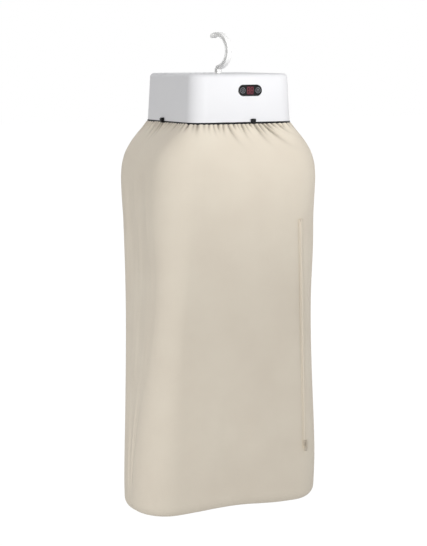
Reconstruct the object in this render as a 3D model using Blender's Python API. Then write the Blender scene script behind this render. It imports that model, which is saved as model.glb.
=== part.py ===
"""Portable hanging clothes dryer.

A square fan-heater head hangs by its swivelling hook from a rail. Warm air is blown down through the
outlet into a zipped fabric bag, whose elastic neck grips a collar under the head. Clothes hang on the
short rail inside the bag.

Metres, +Z up. The origin is the seat of the hook: the top of the rail that the dryer hangs from touches
the hook there. The control panel faces -Y, and +X is to the right of someone who faces the panel.
"""
import bpy
import bmesh
from math import atan2, cos, pi, radians, sin, sqrt
from mathutils import Matrix, Vector

# Fits and cuts
GAP = 0.0003
CUT_OVERRUN = 0.002

# Head casing
CASING_SIDE = 0.271
CASING_HEIGHT = 0.111
CASING_CORNER = 0.038
CASING_TAPER = 0.0045
CASING_WALL = 0.0025
CASING_TOP_ROUND = 0.009
SEAT_TO_CASING = 0.087
CORNER_STEPS = 6
POST_RADIUS = 0.0045
POST_INSET = 0.0275
SCREW_RADIUS = 0.0017
SCREW_LENGTH = 0.016
SCREW_HEAD_RADIUS = 0.0036
SCREW_HEAD_HEIGHT = 0.0022

# Air intake in the casing's top
INTAKE_SLOTS = 24
INTAKE_SLOT_WIDTH = 0.0042
INTAKE_SLOT_LENGTH = 0.034
INTAKE_INNER_RADIUS = 0.036

# Base plate with the collar that the bag's neck grips
FLANGE_SIDE = 0.273
FLANGE_THICKNESS = 0.0045
COLLAR_SIDE = 0.263
COLLAR_DEPTH = 0.019
COLLAR_WALL = 0.003
OUTLET_RADIUS = 0.076

# Outlet grille
GRILLE_RINGS = 3
GRILLE_BAR = 0.0024
GRILLE_HUB_RADIUS = 0.012
GRILLE_THICKNESS = 0.003
LATTICE_STEPS = 36
GRILLE_SPOKES = 6

# Air duct, fan and motor
DUCT_RADIUS = 0.078
DUCT_WALL = 0.002
DUCT_FOOT_WIDTH = 0.008
DUCT_FOOT_THICKNESS = 0.0025
DUCT_HEIGHT = 0.088
DUCT_MOUTH_FLARE = 0.005
FAN_TIP_GAP = 0.003
FAN_HUB_RADIUS = 0.026
FAN_HUB_HEIGHT = 0.024
FAN_HUB_WALL = 0.002
FAN_BLADES = 7
FAN_BLADE_THICKNESS = 0.0018
FAN_BLADE_CHORD = 0.042
FAN_ROOT_PITCH = radians(42)
FAN_TIP_PITCH = radians(24)
FAN_TOP_DROP = 0.010
FAN_TO_MOTOR = 0.003
SHAFT_RADIUS = 0.003
SHAFT_TAIL = 0.003
MOTOR_RADIUS = 0.028
MOTOR_HEIGHT = 0.030
MOTOR_EDGE = 0.002
MOTOR_NOSE_RADIUS = 0.008
MOTOR_NOSE_HEIGHT = 0.002
MOUNT_RING_WALL = 0.003
MOUNT_HEIGHT = 0.009
MOUNT_ARMS = 4

# Heater under the motor
HEATER_FRAME_HEIGHT = 0.016
HEATER_TO_GRILLE = 0.004
HEATER_WIDTH = 0.106
HEATER_DEPTH = 0.094
HEATER_ROWS = 3
HEATER_FINS = 12
HEATER_BAR = 0.0034
HEATER_FIN = 0.0014
CUTOUT_RADIUS = 0.0065
CUTOUT_HEIGHT = 0.006
CUTOUT_ASIDE = 0.020

# Control panel in the front wall
PANEL_WIDTH = 0.062
PANEL_HEIGHT = 0.026
PANEL_THICKNESS = 0.004
PANEL_PROUD = 0.0006
PANEL_DROP = 0.038
PANEL_OFFSET = 0.015
PANEL_EDGE = 0.0006
KEY_RADIUS = 0.007
KEY_SPACING = 0.040
KEY_THICKNESS = 0.0046
KEY_PROUD = 0.0010
KEY_STEM_RADIUS = 0.0025
KEY_TRAVEL = 0.0006
KEY_EDGE = 0.0004
SWITCH_SIDE = 0.006
SWITCH_HEIGHT = 0.0035
SWITCH_BUTTON_RADIUS = 0.00175
SWITCH_BUTTON_HEIGHT = 0.0008
TRAY_WIDTH = 0.078
TRAY_HEIGHT = 0.038
TRAY_WALL = 0.0016
TRAY_DEPTH = 0.010
BOARD_THICKNESS = 0.0016
BOARD_MARGIN = 0.001
DISPLAY_WIDTH = 0.020
DISPLAY_HEIGHT = 0.021

# Power board on the base plate
POWER_BOARD_WIDTH = 0.096
POWER_BOARD_DEPTH = 0.030
POWER_BOARD_FROM_WALL = 0.007
STANDOFF_RADIUS = 0.003
STANDOFF_HEIGHT = 0.008
RELAY_SIZE = (0.019, 0.015, 0.015)
CAPACITOR_SIZE = (0.018, 0.009, 0.013)

# Mains inlet in the rear wall
INLET_WIDTH = 0.0275
INLET_HEIGHT = 0.0215
INLET_DEPTH = 0.022
INLET_FLANGE = 0.0022
INLET_FLANGE_THICKNESS = 0.002
INLET_CORNER = 0.003
INLET_WALL = 0.00175
INLET_FLOOR = 0.005
INLET_DROP = 0.062
INLET_PIN_SIZE = (0.002, 0.004, 0.019)
INLET_PIN_SPACING = 0.014
INLET_PIN_DROP = 0.001
INLET_EARTH_RISE = 0.004
INLET_PIN_RECESS = 0.003

# Hook
HOOK_INNER_RADIUS = 0.034
HOOK_BAR = 0.010
HOOK_WIDTH = 0.013
HOOK_RIM = 0.0024
HOOK_WEB = 0.005
HOOK_BEND = 0.008
HOOK_TIP_ANGLE = radians(26)
HOOK_REST_TURN = radians(11.5)
HOOK_STEPS = 20
HOOK_BEND_STEPS = 4
SHANK_RADIUS = 0.006
SHANK_TAIL = 0.007
BUSH_WALL = 0.0025
BUSH_FLANGE = 0.004
BUSH_FLANGE_THICKNESS = 0.002
BOSS_WALL = 0.003
BOSS_DEPTH = 0.010
CLIP_THICKNESS = 0.0016
CLIP_BAR = 0.0045
CLIP_GROOVE = 0.0018
CLIP_OPENING = radians(70)

# Catches astride the casing's lower edge
CATCH_WIDTH = 0.010
CATCH_PROUD = 0.0065
CATCH_ABOVE = 0.0075
CATCH_BELOW = 0.0030
CATCH_ROUND = 0.002
CATCH_OFFSET = 0.020

# Garment rail under the base plate
RAIL_RADIUS = 0.0065
RAIL_WALL = 0.0012
RAIL_LENGTH = 0.226
RAIL_DROP = 0.034
BRACKET_WIDTH = 0.030
BRACKET_PLATE = 0.003
BRACKET_FOOT = 0.018
BRACKET_INSET = 0.006
RAIL_CAP_THICKNESS = 0.003
RAIL_CAP_LIP = 0.0015
RAIL_CAP_SPIGOT = 0.008

# Bag
BAG_CLOTH = 0.0012
BAG_LENGTH = 0.929
BAG_SHOULDER_WIDTH = 0.427
BAG_SHOULDER_DEPTH = 0.313
BAG_SHOULDER_DROP = 0.134
BAG_FOOT_WIDTH = 0.489
BAG_FOOT_DEPTH = 0.192
BAG_FOOT_ROUND = 0.030
BAG_WAIST_WIDTH = 0.412
BAG_WAIST_DROP = 0.360
BAG_SHOULDER_CORNER = 0.082
BAG_CORNER = 0.068
BAND_THICKNESS = 0.0022
BAND_HEIGHT = 0.014

# Zip where the bag's front turns into its right side
ZIP_TILT = radians(10)
ZIP_LIFT = 0.0007
ZIP_TOP_DROP = 0.227
ZIP_LENGTH = 0.566
ZIP_TAPE_WIDTH = 0.012
ZIP_TAPE_THICKNESS = 0.0008
ZIP_TEETH_WIDTH = 0.0045
ZIP_TEETH_THICKNESS = 0.0016
ZIP_STOP_LENGTH = 0.005
ZIP_STOP_WALL = 0.0012
SLIDER_LENGTH = 0.013
SLIDER_WIDTH = 0.009
SLIDER_PLATE = 0.0014
SLIDER_BRIDGE_WIDTH = 0.0030
SLIDER_BRIDGE_WALL = 0.0012
PULL_BAR = 0.0016
PULL_WIDTH = 0.0076
PULL_LENGTH = 0.020
PULL_EYE = 0.009

# Heights that several pieces share
CASING_TOP = -SEAT_TO_CASING
CASING_FOOT = CASING_TOP - CASING_HEIGHT
FLANGE_TOP = CASING_FOOT - GAP
FLANGE_FOOT = FLANGE_TOP - FLANGE_THICKNESS
COLLAR_FOOT = FLANGE_FOOT - COLLAR_DEPTH
BAG_TOP = FLANGE_FOOT - GAP
HALF_SIDE = CASING_SIDE / 2
RING_POINTS = 4 * (CORNER_STEPS + 1)
WALL_LEAN = atan2(CASING_TAPER, CASING_HEIGHT - CASING_TOP_ROUND)
DUCT_TOP = FLANGE_TOP + GAP + DUCT_HEIGHT
FAN_TOP = DUCT_TOP - FAN_TOP_DROP
FAN_FOOT = FAN_TOP - FAN_HUB_HEIGHT
MOTOR_TOP = FAN_FOOT - FAN_TO_MOTOR
MOTOR_FOOT = MOTOR_TOP - MOTOR_HEIGHT
GRILLE_TOP = FLANGE_FOOT + GRILLE_THICKNESS
HEATER_FOOT = GRILLE_TOP + HEATER_TO_GRILLE
HEATER_TOP = HEATER_FOOT + HEATER_FRAME_HEIGHT
RAIL_HEIGHT = FLANGE_FOOT - RAIL_DROP


for old in list(bpy.data.objects):
    bpy.data.objects.remove(old, do_unlink=True)


# Materials

def material(name, color, roughness, metallic=0.0):
    made = bpy.data.materials.get(name)
    if made is None:
        made = bpy.data.materials.new(name)
        made.use_nodes = True
        shader = made.node_tree.nodes["Principled BSDF"]
        shader.inputs["Base Color"].default_value = (*color, 1.0)
        shader.inputs["Roughness"].default_value = roughness
        shader.inputs["Metallic"].default_value = metallic
        made.diffuse_color = (*color, 1.0)
    return made


WHITE_ABS = material("white_abs", (0.86, 0.86, 0.87), 0.38)
BLACK_ABS = material("black_abs", (0.018, 0.018, 0.020), 0.45)
GLOSS_PANEL = material("gloss_panel", (0.006, 0.006, 0.007), 0.08)
KEY_BLACK = material("key_black", (0.012, 0.012, 0.014), 0.20)
NYLON = material("nylon", (0.70, 0.69, 0.66), 0.50)
STEEL = material("steel", (0.62, 0.62, 0.63), 0.30, 1.0)
ZINC = material("zinc_steel", (0.50, 0.50, 0.52), 0.42, 1.0)
ALUMINIUM = material("aluminium", (0.74, 0.75, 0.76), 0.35, 1.0)
BRASS = material("brass", (0.66, 0.52, 0.26), 0.35, 1.0)
MICA = material("mica_board", (0.46, 0.38, 0.27), 0.70)
BOARD_GREEN = material("circuit_board", (0.03, 0.16, 0.07), 0.45)
BOARD_PARTS = material("board_parts", (0.10, 0.14, 0.30), 0.50)
FABRIC = material("bag_fabric", (0.72, 0.67, 0.57), 0.85)
ELASTIC = material("elastic", (0.55, 0.50, 0.42), 0.90)
ZIP_CLOTH = material("zip_tape", (0.60, 0.55, 0.46), 0.85)


# Objects and placing

def frame(name, origin, x_axis=(1, 0, 0), z_axis=(0, 0, 1), parent=None):
    """An empty whose axes carry a group of pieces, standing on a joint's axis or a tilted wall."""
    z = Vector(z_axis).normalized()
    x = Vector(x_axis)
    x = (x - z * x.dot(z)).normalized()
    empty = bpy.data.objects.new(name, None)
    bpy.context.scene.collection.objects.link(empty)
    turn = Matrix((x, z.cross(x), z)).transposed().to_4x4()
    world = Matrix.Translation(Vector(origin)) @ turn
    if parent is not None:
        empty.parent = parent
        world = placed(parent).inverted() @ world
    empty.matrix_basis = world
    return empty


def placed(obj):
    """Where an empty stands in the part, through all its parents."""
    world = obj.matrix_basis.copy()
    while obj.parent is not None:
        obj = obj.parent
        world = obj.matrix_basis @ world
    return world


def finish(bm, name, made_of, parent=None, smooth_angle=radians(35)):
    """Turns a bmesh into a named object that rides on its parent's axes."""
    bmesh.ops.recalc_face_normals(bm, faces=bm.faces)
    mesh = bpy.data.meshes.new(name)
    bm.to_mesh(mesh)
    bm.free()
    mesh.shade_smooth()
    mesh.set_sharp_from_angle(angle=smooth_angle)
    obj = bpy.data.objects.new(name, mesh)
    mesh.materials.append(made_of)
    bpy.context.scene.collection.objects.link(obj)
    obj.parent = parent
    return obj


def tool(bm, name, parent=None):
    """A cutting or joining shape, which is a guide and not a piece."""
    obj = finish(bm, name, BLACK_ABS, parent)
    obj.hide_render = True
    obj.display_type = "WIRE"
    return obj


def combine(target, other, operation):
    step = target.modifiers.new(operation.lower() + "_" + other.name, "BOOLEAN")
    step.operation = operation
    step.solver = "EXACT"
    step.object = other
    return target


def cut(target, other):
    return combine(target, other, "DIFFERENCE")


def fuse(target, other):
    return combine(target, other, "UNION")


# Shapes

def rounded_ring(half_x, half_y, corner, z, steps=CORNER_STEPS):
    """The points of a rounded rectangle, anticlockwise seen from above."""
    points = []
    for quarter, (sx, sy) in enumerate(((1, 1), (-1, 1), (-1, -1), (1, -1))):
        for k in range(steps + 1):
            turn = pi / 2 * (quarter + k / steps)
            x = sx * (half_x - corner) + corner * cos(turn)
            y = sy * (half_y - corner) + corner * sin(turn)
            points.append(Vector((x, y, z)))
    return points


def round_ring(radius, z, count, centre=(0, 0)):
    points = []
    for k in range(count):
        turn = 2 * pi * (k + 0.5) / count
        points.append(Vector((centre[0] + radius * cos(turn), centre[1] + radius * sin(turn), z)))
    return points


def loft(bm, rings, closed=False):
    """Skins a row of rings with equal counts, and caps both ends unless the row closes on itself."""
    rows = [[bm.verts.new(p) for p in ring] for ring in rings]
    count = len(rows[0])
    pairs = list(zip(rows, rows[1:]))
    if closed:
        pairs.append((rows[-1], rows[0]))
    for low, high in pairs:
        for k in range(count):
            nxt = (k + 1) % count
            bm.faces.new((low[k], low[nxt], high[nxt], high[k]))
    if not closed:
        bm.faces.new(list(reversed(rows[0])))
        bm.faces.new(rows[-1])
    return bm


def turned(profile, count, closed=False, centre=(0, 0)):
    """A turned shape: a profile of radius and height, swept round a vertical axis."""
    return loft(bmesh.new(), [round_ring(r, z, count, centre) for r, z in profile], closed)


def box(bm, low, high):
    corners = [(x, y, z) for z in (low[2], high[2]) for y in (low[1], high[1]) for x in (low[0], high[0])]
    v = [bm.verts.new(c) for c in corners]
    for face in ((0, 2, 3, 1), (4, 5, 7, 6), (0, 1, 5, 4), (2, 6, 7, 3), (0, 4, 6, 2), (1, 3, 7, 5)):
        bm.faces.new([v[k] for k in face])
    return bm


def block(size, centre):
    half = [s / 2 for s in size]
    low = [c - h for c, h in zip(centre, half)]
    high = [c + h for c, h in zip(centre, half)]
    return box(bmesh.new(), low, high)


def extruded(bm, outline, start, end, place):
    """Extrudes a flat outline between two depths; place(u, v, w) gives each point's position."""
    rings = [[Vector(place(u, v, w)) for u, v in outline] for w in (start, end)]
    return loft(bm, rings)


def polar_lattice(radii, spokes, spoke_cells, low, high):
    """Rings joined by spokes, as one solid. The first, third, fifth... band of radii is solid."""
    bm = bmesh.new()
    bands = len(radii) - 1
    cells_per_spoke = LATTICE_STEPS // spokes

    def solid(i, j):
        if j < 0 or j >= bands:
            return False
        return j % 2 == 0 or i % cells_per_spoke < spoke_cells

    corner = {}
    for i in range(LATTICE_STEPS):
        turn = 2 * pi * i / LATTICE_STEPS
        for j, radius in enumerate(radii):
            near = [solid((i - back) % LATTICE_STEPS, j - down) for back in (0, 1) for down in (0, 1)]
            if any(near):
                for side, z in enumerate((low, high)):
                    corner[i, j, side] = bm.verts.new((radius * cos(turn), radius * sin(turn), z))
    for i in range(LATTICE_STEPS):
        nxt = (i + 1) % LATTICE_STEPS
        for j in range(bands):
            if not solid(i, j):
                continue
            for side in (0, 1):
                bm.faces.new([corner[a, b, side] for a, b in ((i, j), (nxt, j), (nxt, j + 1), (i, j + 1))])
            edges = []
            if not solid(i, j - 1):
                edges.append(((i, j), (nxt, j)))
            if not solid(i, j + 1):
                edges.append(((i, j + 1), (nxt, j + 1)))
            if not solid((i - 1) % LATTICE_STEPS, j):
                edges.append(((i, j), (i, j + 1)))
            if not solid(nxt, j):
                edges.append(((nxt, j), (nxt, j + 1)))
            for (a, b), (c, d) in edges:
                bm.faces.new((corner[a, b, 0], corner[c, d, 0], corner[c, d, 1], corner[a, b, 1]))
    return bm


# Casing

def casing_half(z):
    """Half the casing's width outside, at a height below its rounded top edge."""
    return HALF_SIDE - CASING_TAPER * (z - CASING_FOOT) / (CASING_HEIGHT - CASING_TOP_ROUND)


def casing_rings(inset, top_steps=4):
    """The rings of the casing's outer or inner skin, from its foot to its flat top."""
    side_top = CASING_TOP - CASING_TOP_ROUND
    rings = []
    for z in (CASING_FOOT, side_top):
        half = casing_half(z) - inset
        corner = CASING_CORNER - inset
        rings.append(rounded_ring(half, half, corner, z))
    side_half = casing_half(side_top)
    edge = CASING_TOP_ROUND - inset
    for k in range(1, top_steps + 1):
        turn = pi / 2 * k / top_steps
        half = side_half - CASING_TOP_ROUND + edge * cos(turn)
        corner = CASING_CORNER - CASING_TOP_ROUND + edge * cos(turn)
        rings.append(rounded_ring(half, half, corner, side_top + edge * sin(turn)))
    return rings


def post_places():
    reach = HALF_SIDE - POST_INSET
    return {
        "front_left": (-reach, -reach),
        "front_right": (reach, -reach),
        "rear_right": (reach, reach),
        "rear_left": (-reach, reach),
    }


def make_casing(panel, rear):
    outer = casing_rings(0)
    inner = casing_rings(CASING_WALL)
    bm = bmesh.new()
    outer_rows = [[bm.verts.new(p) for p in ring] for ring in outer]
    inner_rows = [[bm.verts.new(p) for p in ring] for ring in inner]
    rows = list(reversed(outer_rows)) + inner_rows
    for low, high in zip(rows, rows[1:]):
        for k in range(len(low)):
            nxt = (k + 1) % len(low)
            bm.faces.new((low[k], low[nxt], high[nxt], high[k]))
    bm.faces.new(outer_rows[-1])
    bm.faces.new(list(reversed(inner_rows[-1])))
    casing = finish(bm, "casing", WHITE_ABS)

    inside_top = CASING_TOP - CASING_WALL
    posts = bmesh.new()
    for x, y in post_places().values():
        loft(posts, [round_ring(POST_RADIUS, z, 12, (x, y)) for z in (CASING_FOOT, inside_top + CASING_WALL / 2)])
    boss_radius = SHANK_RADIUS + GAP + BUSH_WALL + GAP + BOSS_WALL
    boss_foot = inside_top - BOSS_DEPTH
    loft(posts, [round_ring(boss_radius, z, 28) for z in (boss_foot, inside_top + CASING_WALL / 2)])
    fuse(casing, tool(posts, "casing_posts"))

    holes = bmesh.new()
    for x, y in post_places().values():
        pilot_top = CASING_FOOT + SCREW_LENGTH
        rings = [round_ring(SCREW_RADIUS + GAP, z, 10, (x, y)) for z in (CASING_FOOT - CUT_OVERRUN, pilot_top)]
        loft(holes, rings)
    bore = SHANK_RADIUS + GAP + BUSH_WALL + GAP
    loft(holes, [round_ring(bore, z, 28) for z in (boss_foot - CUT_OVERRUN, CASING_TOP + CUT_OVERRUN)])
    outline = ((0, -1), (1, -1), (1, 1), (0, 1))
    for k in range(INTAKE_SLOTS):
        turn = 2 * pi * (k + 0.5) / INTAKE_SLOTS

        def radial(u, v, w, turn=turn):
            along = INTAKE_INNER_RADIUS + u * INTAKE_SLOT_LENGTH
            aside = v * INTAKE_SLOT_WIDTH / 2
            return (along * cos(turn) - aside * sin(turn), along * sin(turn) + aside * cos(turn), w)

        extruded(holes, outline, inside_top - CUT_OVERRUN, CASING_TOP + CUT_OVERRUN, radial)
    cut(casing, tool(holes, "casing_holes"))

    window = loft(bmesh.new(), [
        pill_ring(PANEL_WIDTH / 2 + GAP, PANEL_HEIGHT / 2 + GAP, z)
        for z in (-CASING_WALL - CUT_OVERRUN, CUT_OVERRUN)
    ])
    cut(casing, tool(window, "panel_window", panel))
    mouth = loft(bmesh.new(), [
        rounded_ring(INLET_WIDTH / 2 + GAP, INLET_HEIGHT / 2 + GAP, INLET_CORNER, z, 3)
        for z in (-CASING_WALL - CUT_OVERRUN, CUT_OVERRUN)
    ])
    cut(casing, tool(mouth, "inlet_window", rear))
    return casing


def make_catches():
    """Four black catches astride the casing's lower edge, which hold the casing to the base plate."""
    top = CASING_FOOT + CATCH_ABOVE
    foot = CASING_FOOT - CATCH_BELOW
    wall_top = casing_half(top) + GAP
    flange = FLANGE_SIDE / 2 + GAP
    face = flange + CATCH_PROUD
    outline = [
        (wall_top, top),
        (face - CATCH_ROUND, top),
        (face, top - CATCH_ROUND),
        (face, foot + CATCH_ROUND),
        (face - CATCH_ROUND, foot),
        (flange, foot),
        (flange, CASING_FOOT),
        (casing_half(CASING_FOOT) + GAP, CASING_FOOT + GAP),
    ]
    places = {"front": (0, 1), "right": (90, 1), "rear": (180, -1), "left": (-90, -1)}
    for side, (turn, sense) in places.items():
        seat = frame("catch_seat_" + side, (0, 0, 0), (cos(radians(turn)), sin(radians(turn)), 0))
        middle = sense * CATCH_OFFSET
        bm = extruded(bmesh.new(), outline, middle - CATCH_WIDTH / 2, middle + CATCH_WIDTH / 2,
                      lambda u, v, w: (w, -u, v))
        finish(bm, "case_catch_" + side, BLACK_ABS, seat)


# Base plate, grille and screws

def make_base_plate():
    corner = CASING_CORNER
    flange = FLANGE_SIDE / 2
    collar = COLLAR_SIDE / 2
    inside = collar - COLLAR_WALL
    flange_corner = corner + flange - HALF_SIDE
    collar_corner = flange_corner - (flange - collar)
    inside_corner = collar_corner - COLLAR_WALL
    rings = [
        rounded_ring(flange, flange, flange_corner, FLANGE_TOP),
        rounded_ring(flange, flange, flange_corner, FLANGE_FOOT),
        rounded_ring(collar, collar, collar_corner, FLANGE_FOOT),
        rounded_ring(collar, collar, collar_corner, COLLAR_FOOT),
        rounded_ring(inside, inside, inside_corner, COLLAR_FOOT),
        rounded_ring(inside, inside, inside_corner, FLANGE_FOOT),
        round_ring(OUTLET_RADIUS, FLANGE_FOOT, RING_POINTS),
        round_ring(OUTLET_RADIUS, FLANGE_TOP, RING_POINTS),
    ]
    base = finish(loft(bmesh.new(), rings, closed=True), "base_plate", BLACK_ABS)
    posts = bmesh.new()
    for x, y in standoff_places():
        ends = (FLANGE_TOP - FLANGE_THICKNESS / 2, FLANGE_TOP + STANDOFF_HEIGHT)
        loft(posts, [round_ring(STANDOFF_RADIUS, z, 10, (x, y)) for z in ends])
    fuse(base, tool(posts, "base_standoffs"))
    holes = bmesh.new()
    for x, y in post_places().values():
        ends = (FLANGE_FOOT - CUT_OVERRUN, FLANGE_TOP + CUT_OVERRUN)
        loft(holes, [round_ring(SCREW_RADIUS + GAP, z, 10, (x, y)) for z in ends])
    cut(base, tool(holes, "base_screw_holes"))


def make_base_screws():
    """Pan-head screws that hold the base plate to the casing's corner posts."""
    head_top = FLANGE_FOOT - GAP
    head_foot = head_top - SCREW_HEAD_HEIGHT
    tip = CASING_FOOT + SCREW_LENGTH - GAP
    for corner, place in post_places().items():
        profile = [
            (SCREW_HEAD_RADIUS / 2, head_foot),
            (SCREW_HEAD_RADIUS, head_foot + SCREW_HEAD_HEIGHT / 2),
            (SCREW_HEAD_RADIUS, head_top),
            (SCREW_RADIUS, head_top),
            (SCREW_RADIUS, tip - SCREW_RADIUS),
            (SCREW_RADIUS / 2, tip),
        ]
        finish(turned(profile, 10, centre=place), "base_screw_" + corner, ZINC)


def make_grille():
    rim = OUTLET_RADIUS * cos(pi / RING_POINTS) - GAP
    pitch = (rim - GRILLE_HUB_RADIUS) / GRILLE_RINGS
    radii = [GRILLE_HUB_RADIUS - GRILLE_BAR, GRILLE_HUB_RADIUS]
    for k in range(1, GRILLE_RINGS + 1):
        outer = GRILLE_HUB_RADIUS + k * pitch
        radii += [outer - GRILLE_BAR, outer]
    bm = polar_lattice(radii, GRILLE_SPOKES, 1, FLANGE_FOOT, GRILLE_TOP)
    finish(bm, "outlet_grille", BLACK_ABS)


# Duct, fan, motor and heater

def make_duct():
    foot = FLANGE_TOP + GAP
    outer = DUCT_RADIUS + DUCT_WALL
    profile = [
        (outer + DUCT_FOOT_WIDTH, foot),
        (outer + DUCT_FOOT_WIDTH, foot + DUCT_FOOT_THICKNESS),
        (outer, foot + DUCT_FOOT_THICKNESS),
        (outer, DUCT_TOP - DUCT_MOUTH_FLARE),
        (outer + DUCT_MOUTH_FLARE, DUCT_TOP),
        (DUCT_RADIUS + DUCT_MOUTH_FLARE, DUCT_TOP),
        (DUCT_RADIUS, DUCT_TOP - DUCT_MOUTH_FLARE),
        (DUCT_RADIUS, foot),
    ]
    finish(turned(profile, 36, closed=True), "air_duct", BLACK_ABS)


def make_motor_mount():
    cup = MOTOR_RADIUS + GAP
    rim = DUCT_RADIUS * cos(pi / LATTICE_STEPS) - GAP
    radii = [cup, cup + MOUNT_RING_WALL, rim - MOUNT_RING_WALL, rim]
    foot = MOTOR_FOOT + MOTOR_EDGE
    bm = polar_lattice(radii, MOUNT_ARMS, 1, foot, foot + MOUNT_HEIGHT)
    finish(bm, "motor_mount", BLACK_ABS)


def make_motor():
    bore = SHAFT_RADIUS + GAP
    nose_top = MOTOR_TOP + MOTOR_NOSE_HEIGHT
    can = MOTOR_RADIUS * cos(pi / LATTICE_STEPS)
    profile = [
        (bore, MOTOR_FOOT),
        (can - MOTOR_EDGE, MOTOR_FOOT),
        (can, MOTOR_FOOT + MOTOR_EDGE),
        (can, MOTOR_TOP - MOTOR_EDGE),
        (can - MOTOR_EDGE, MOTOR_TOP),
        (MOTOR_NOSE_RADIUS, MOTOR_TOP),
        (MOTOR_NOSE_RADIUS, nose_top),
        (bore, nose_top),
    ]
    finish(turned(profile, 24, closed=True), "motor_case", ZINC)


def make_rotor():
    """The motor's shaft and the axial fan on it, which turn together."""
    axis = frame("fan_axis", (0, 0, FAN_FOOT))
    shaft_top = FAN_HUB_HEIGHT - FAN_HUB_WALL + SHAFT_TAIL
    shaft_foot = MOTOR_FOOT + MOTOR_EDGE - FAN_FOOT
    shaft = [(SHAFT_RADIUS, shaft_foot), (SHAFT_RADIUS, shaft_top)]
    finish(turned(shaft, 14), "motor_shaft", STEEL, axis)

    bore = SHAFT_RADIUS + GAP
    boss = bore + FAN_HUB_WALL
    inner_top = FAN_HUB_HEIGHT - FAN_HUB_WALL
    hub = [
        (bore, FAN_HUB_HEIGHT),
        (FAN_HUB_RADIUS - FAN_HUB_WALL, FAN_HUB_HEIGHT),
        (FAN_HUB_RADIUS, FAN_HUB_HEIGHT - FAN_HUB_WALL),
        (FAN_HUB_RADIUS, 0),
        (FAN_HUB_RADIUS - FAN_HUB_WALL, 0),
        (FAN_HUB_RADIUS - FAN_HUB_WALL, inner_top),
        (boss, inner_top),
        (boss, FAN_TO_MOTOR),
        (bore, FAN_TO_MOTOR),
    ]
    fan = finish(turned(hub, 24, closed=True), "fan_impeller", BLACK_ABS, axis)

    tip = DUCT_RADIUS - FAN_TIP_GAP
    root = FAN_HUB_RADIUS - FAN_HUB_WALL / 2
    stations = 3
    blades = bmesh.new()
    for blade in range(FAN_BLADES):
        start = 2 * pi * blade / FAN_BLADES
        rings = []
        for k in range(stations + 1):
            share = k / stations
            radius = root + (tip - root) * share
            pitch = FAN_ROOT_PITCH + (FAN_TIP_PITCH - FAN_ROOT_PITCH) * share
            chord = min(FAN_BLADE_CHORD * (1 + share) / 2, FAN_HUB_HEIGHT / sin(pitch) * FAN_FILL_SHARE)
            ring = []
            for along, side in BLADE_SECTION_SHARES:
                forward = along * chord * cos(pitch) - side * FAN_BLADE_THICKNESS * sin(pitch)
                rise = along * chord * sin(pitch) + side * FAN_BLADE_THICKNESS * cos(pitch)
                turn = start + forward / radius
                height = FAN_HUB_HEIGHT / 2 + rise
                ring.append(Vector((radius * cos(turn), radius * sin(turn), height)))
            rings.append(ring)
        loft(blades, rings)
    fuse(fan, tool(blades, "fan_blades", axis))


FAN_FILL_SHARE = 0.80
BLADE_SECTION_SHARES = ((-0.5, 0.3), (-0.2, -0.5), (0.2, -0.5), (0.5, 0.3), (0.2, 0.5), (-0.2, 0.5))


def make_heater():
    rim = DUCT_RADIUS * cos(pi / LATTICE_STEPS) - GAP
    ends = (HEATER_FOOT, HEATER_TOP)
    frame_ring = finish(loft(bmesh.new(), [round_ring(rim, z, 36) for z in ends]), "heater_frame", MICA)
    opening = block(
        (HEATER_WIDTH, HEATER_DEPTH, HEATER_FRAME_HEIGHT + 2 * CUT_OVERRUN),
        (0, 0, (HEATER_FOOT + HEATER_TOP) / 2),
    )
    cut(frame_ring, tool(opening, "heater_opening"))

    width = HEATER_WIDTH - 2 * GAP
    depth = HEATER_DEPTH - 2 * GAP
    middle = (0, 0, (HEATER_FOOT + HEATER_TOP) / 2)
    core = finish(block((width, depth, HEATER_FRAME_HEIGHT), middle), "heater_core", ALUMINIUM)
    row_pitch = (depth - HEATER_BAR) / HEATER_ROWS
    fin_pitch = (width - HEATER_BAR) / HEATER_FINS
    slots = bmesh.new()
    for row in range(HEATER_ROWS):
        low_y = -depth / 2 + HEATER_BAR + row * row_pitch
        for fin in range(HEATER_FINS):
            low_x = -width / 2 + HEATER_BAR / 2 + HEATER_FIN / 2 + fin * fin_pitch
            box(slots,
                (low_x, low_y, HEATER_FOOT - CUT_OVERRUN),
                (low_x + fin_pitch - HEATER_FIN, low_y + row_pitch - HEATER_BAR, HEATER_TOP + CUT_OVERRUN))
    cut(core, tool(slots, "heater_slots"))

    seat_y = (HEATER_DEPTH / 2 + rim) / 2
    foot = HEATER_TOP + GAP
    profile = [
        (CUTOUT_RADIUS, foot),
        (CUTOUT_RADIUS, foot + CUTOUT_HEIGHT / 2),
        (CUTOUT_RADIUS * CUTOUT_CAP_SHARE, foot + CUTOUT_HEIGHT / 2),
        (CUTOUT_RADIUS * CUTOUT_CAP_SHARE, foot + CUTOUT_HEIGHT),
    ]
    finish(turned(profile, 14, centre=(CUTOUT_ASIDE, seat_y)), "thermal_cutout", BLACK_ABS)


CUTOUT_CAP_SHARE = 0.7


# Control panel

def pill_ring(half_x, half_y, z, steps=9):
    return rounded_ring(half_x, half_y, half_y - GAP, z, steps)


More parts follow.
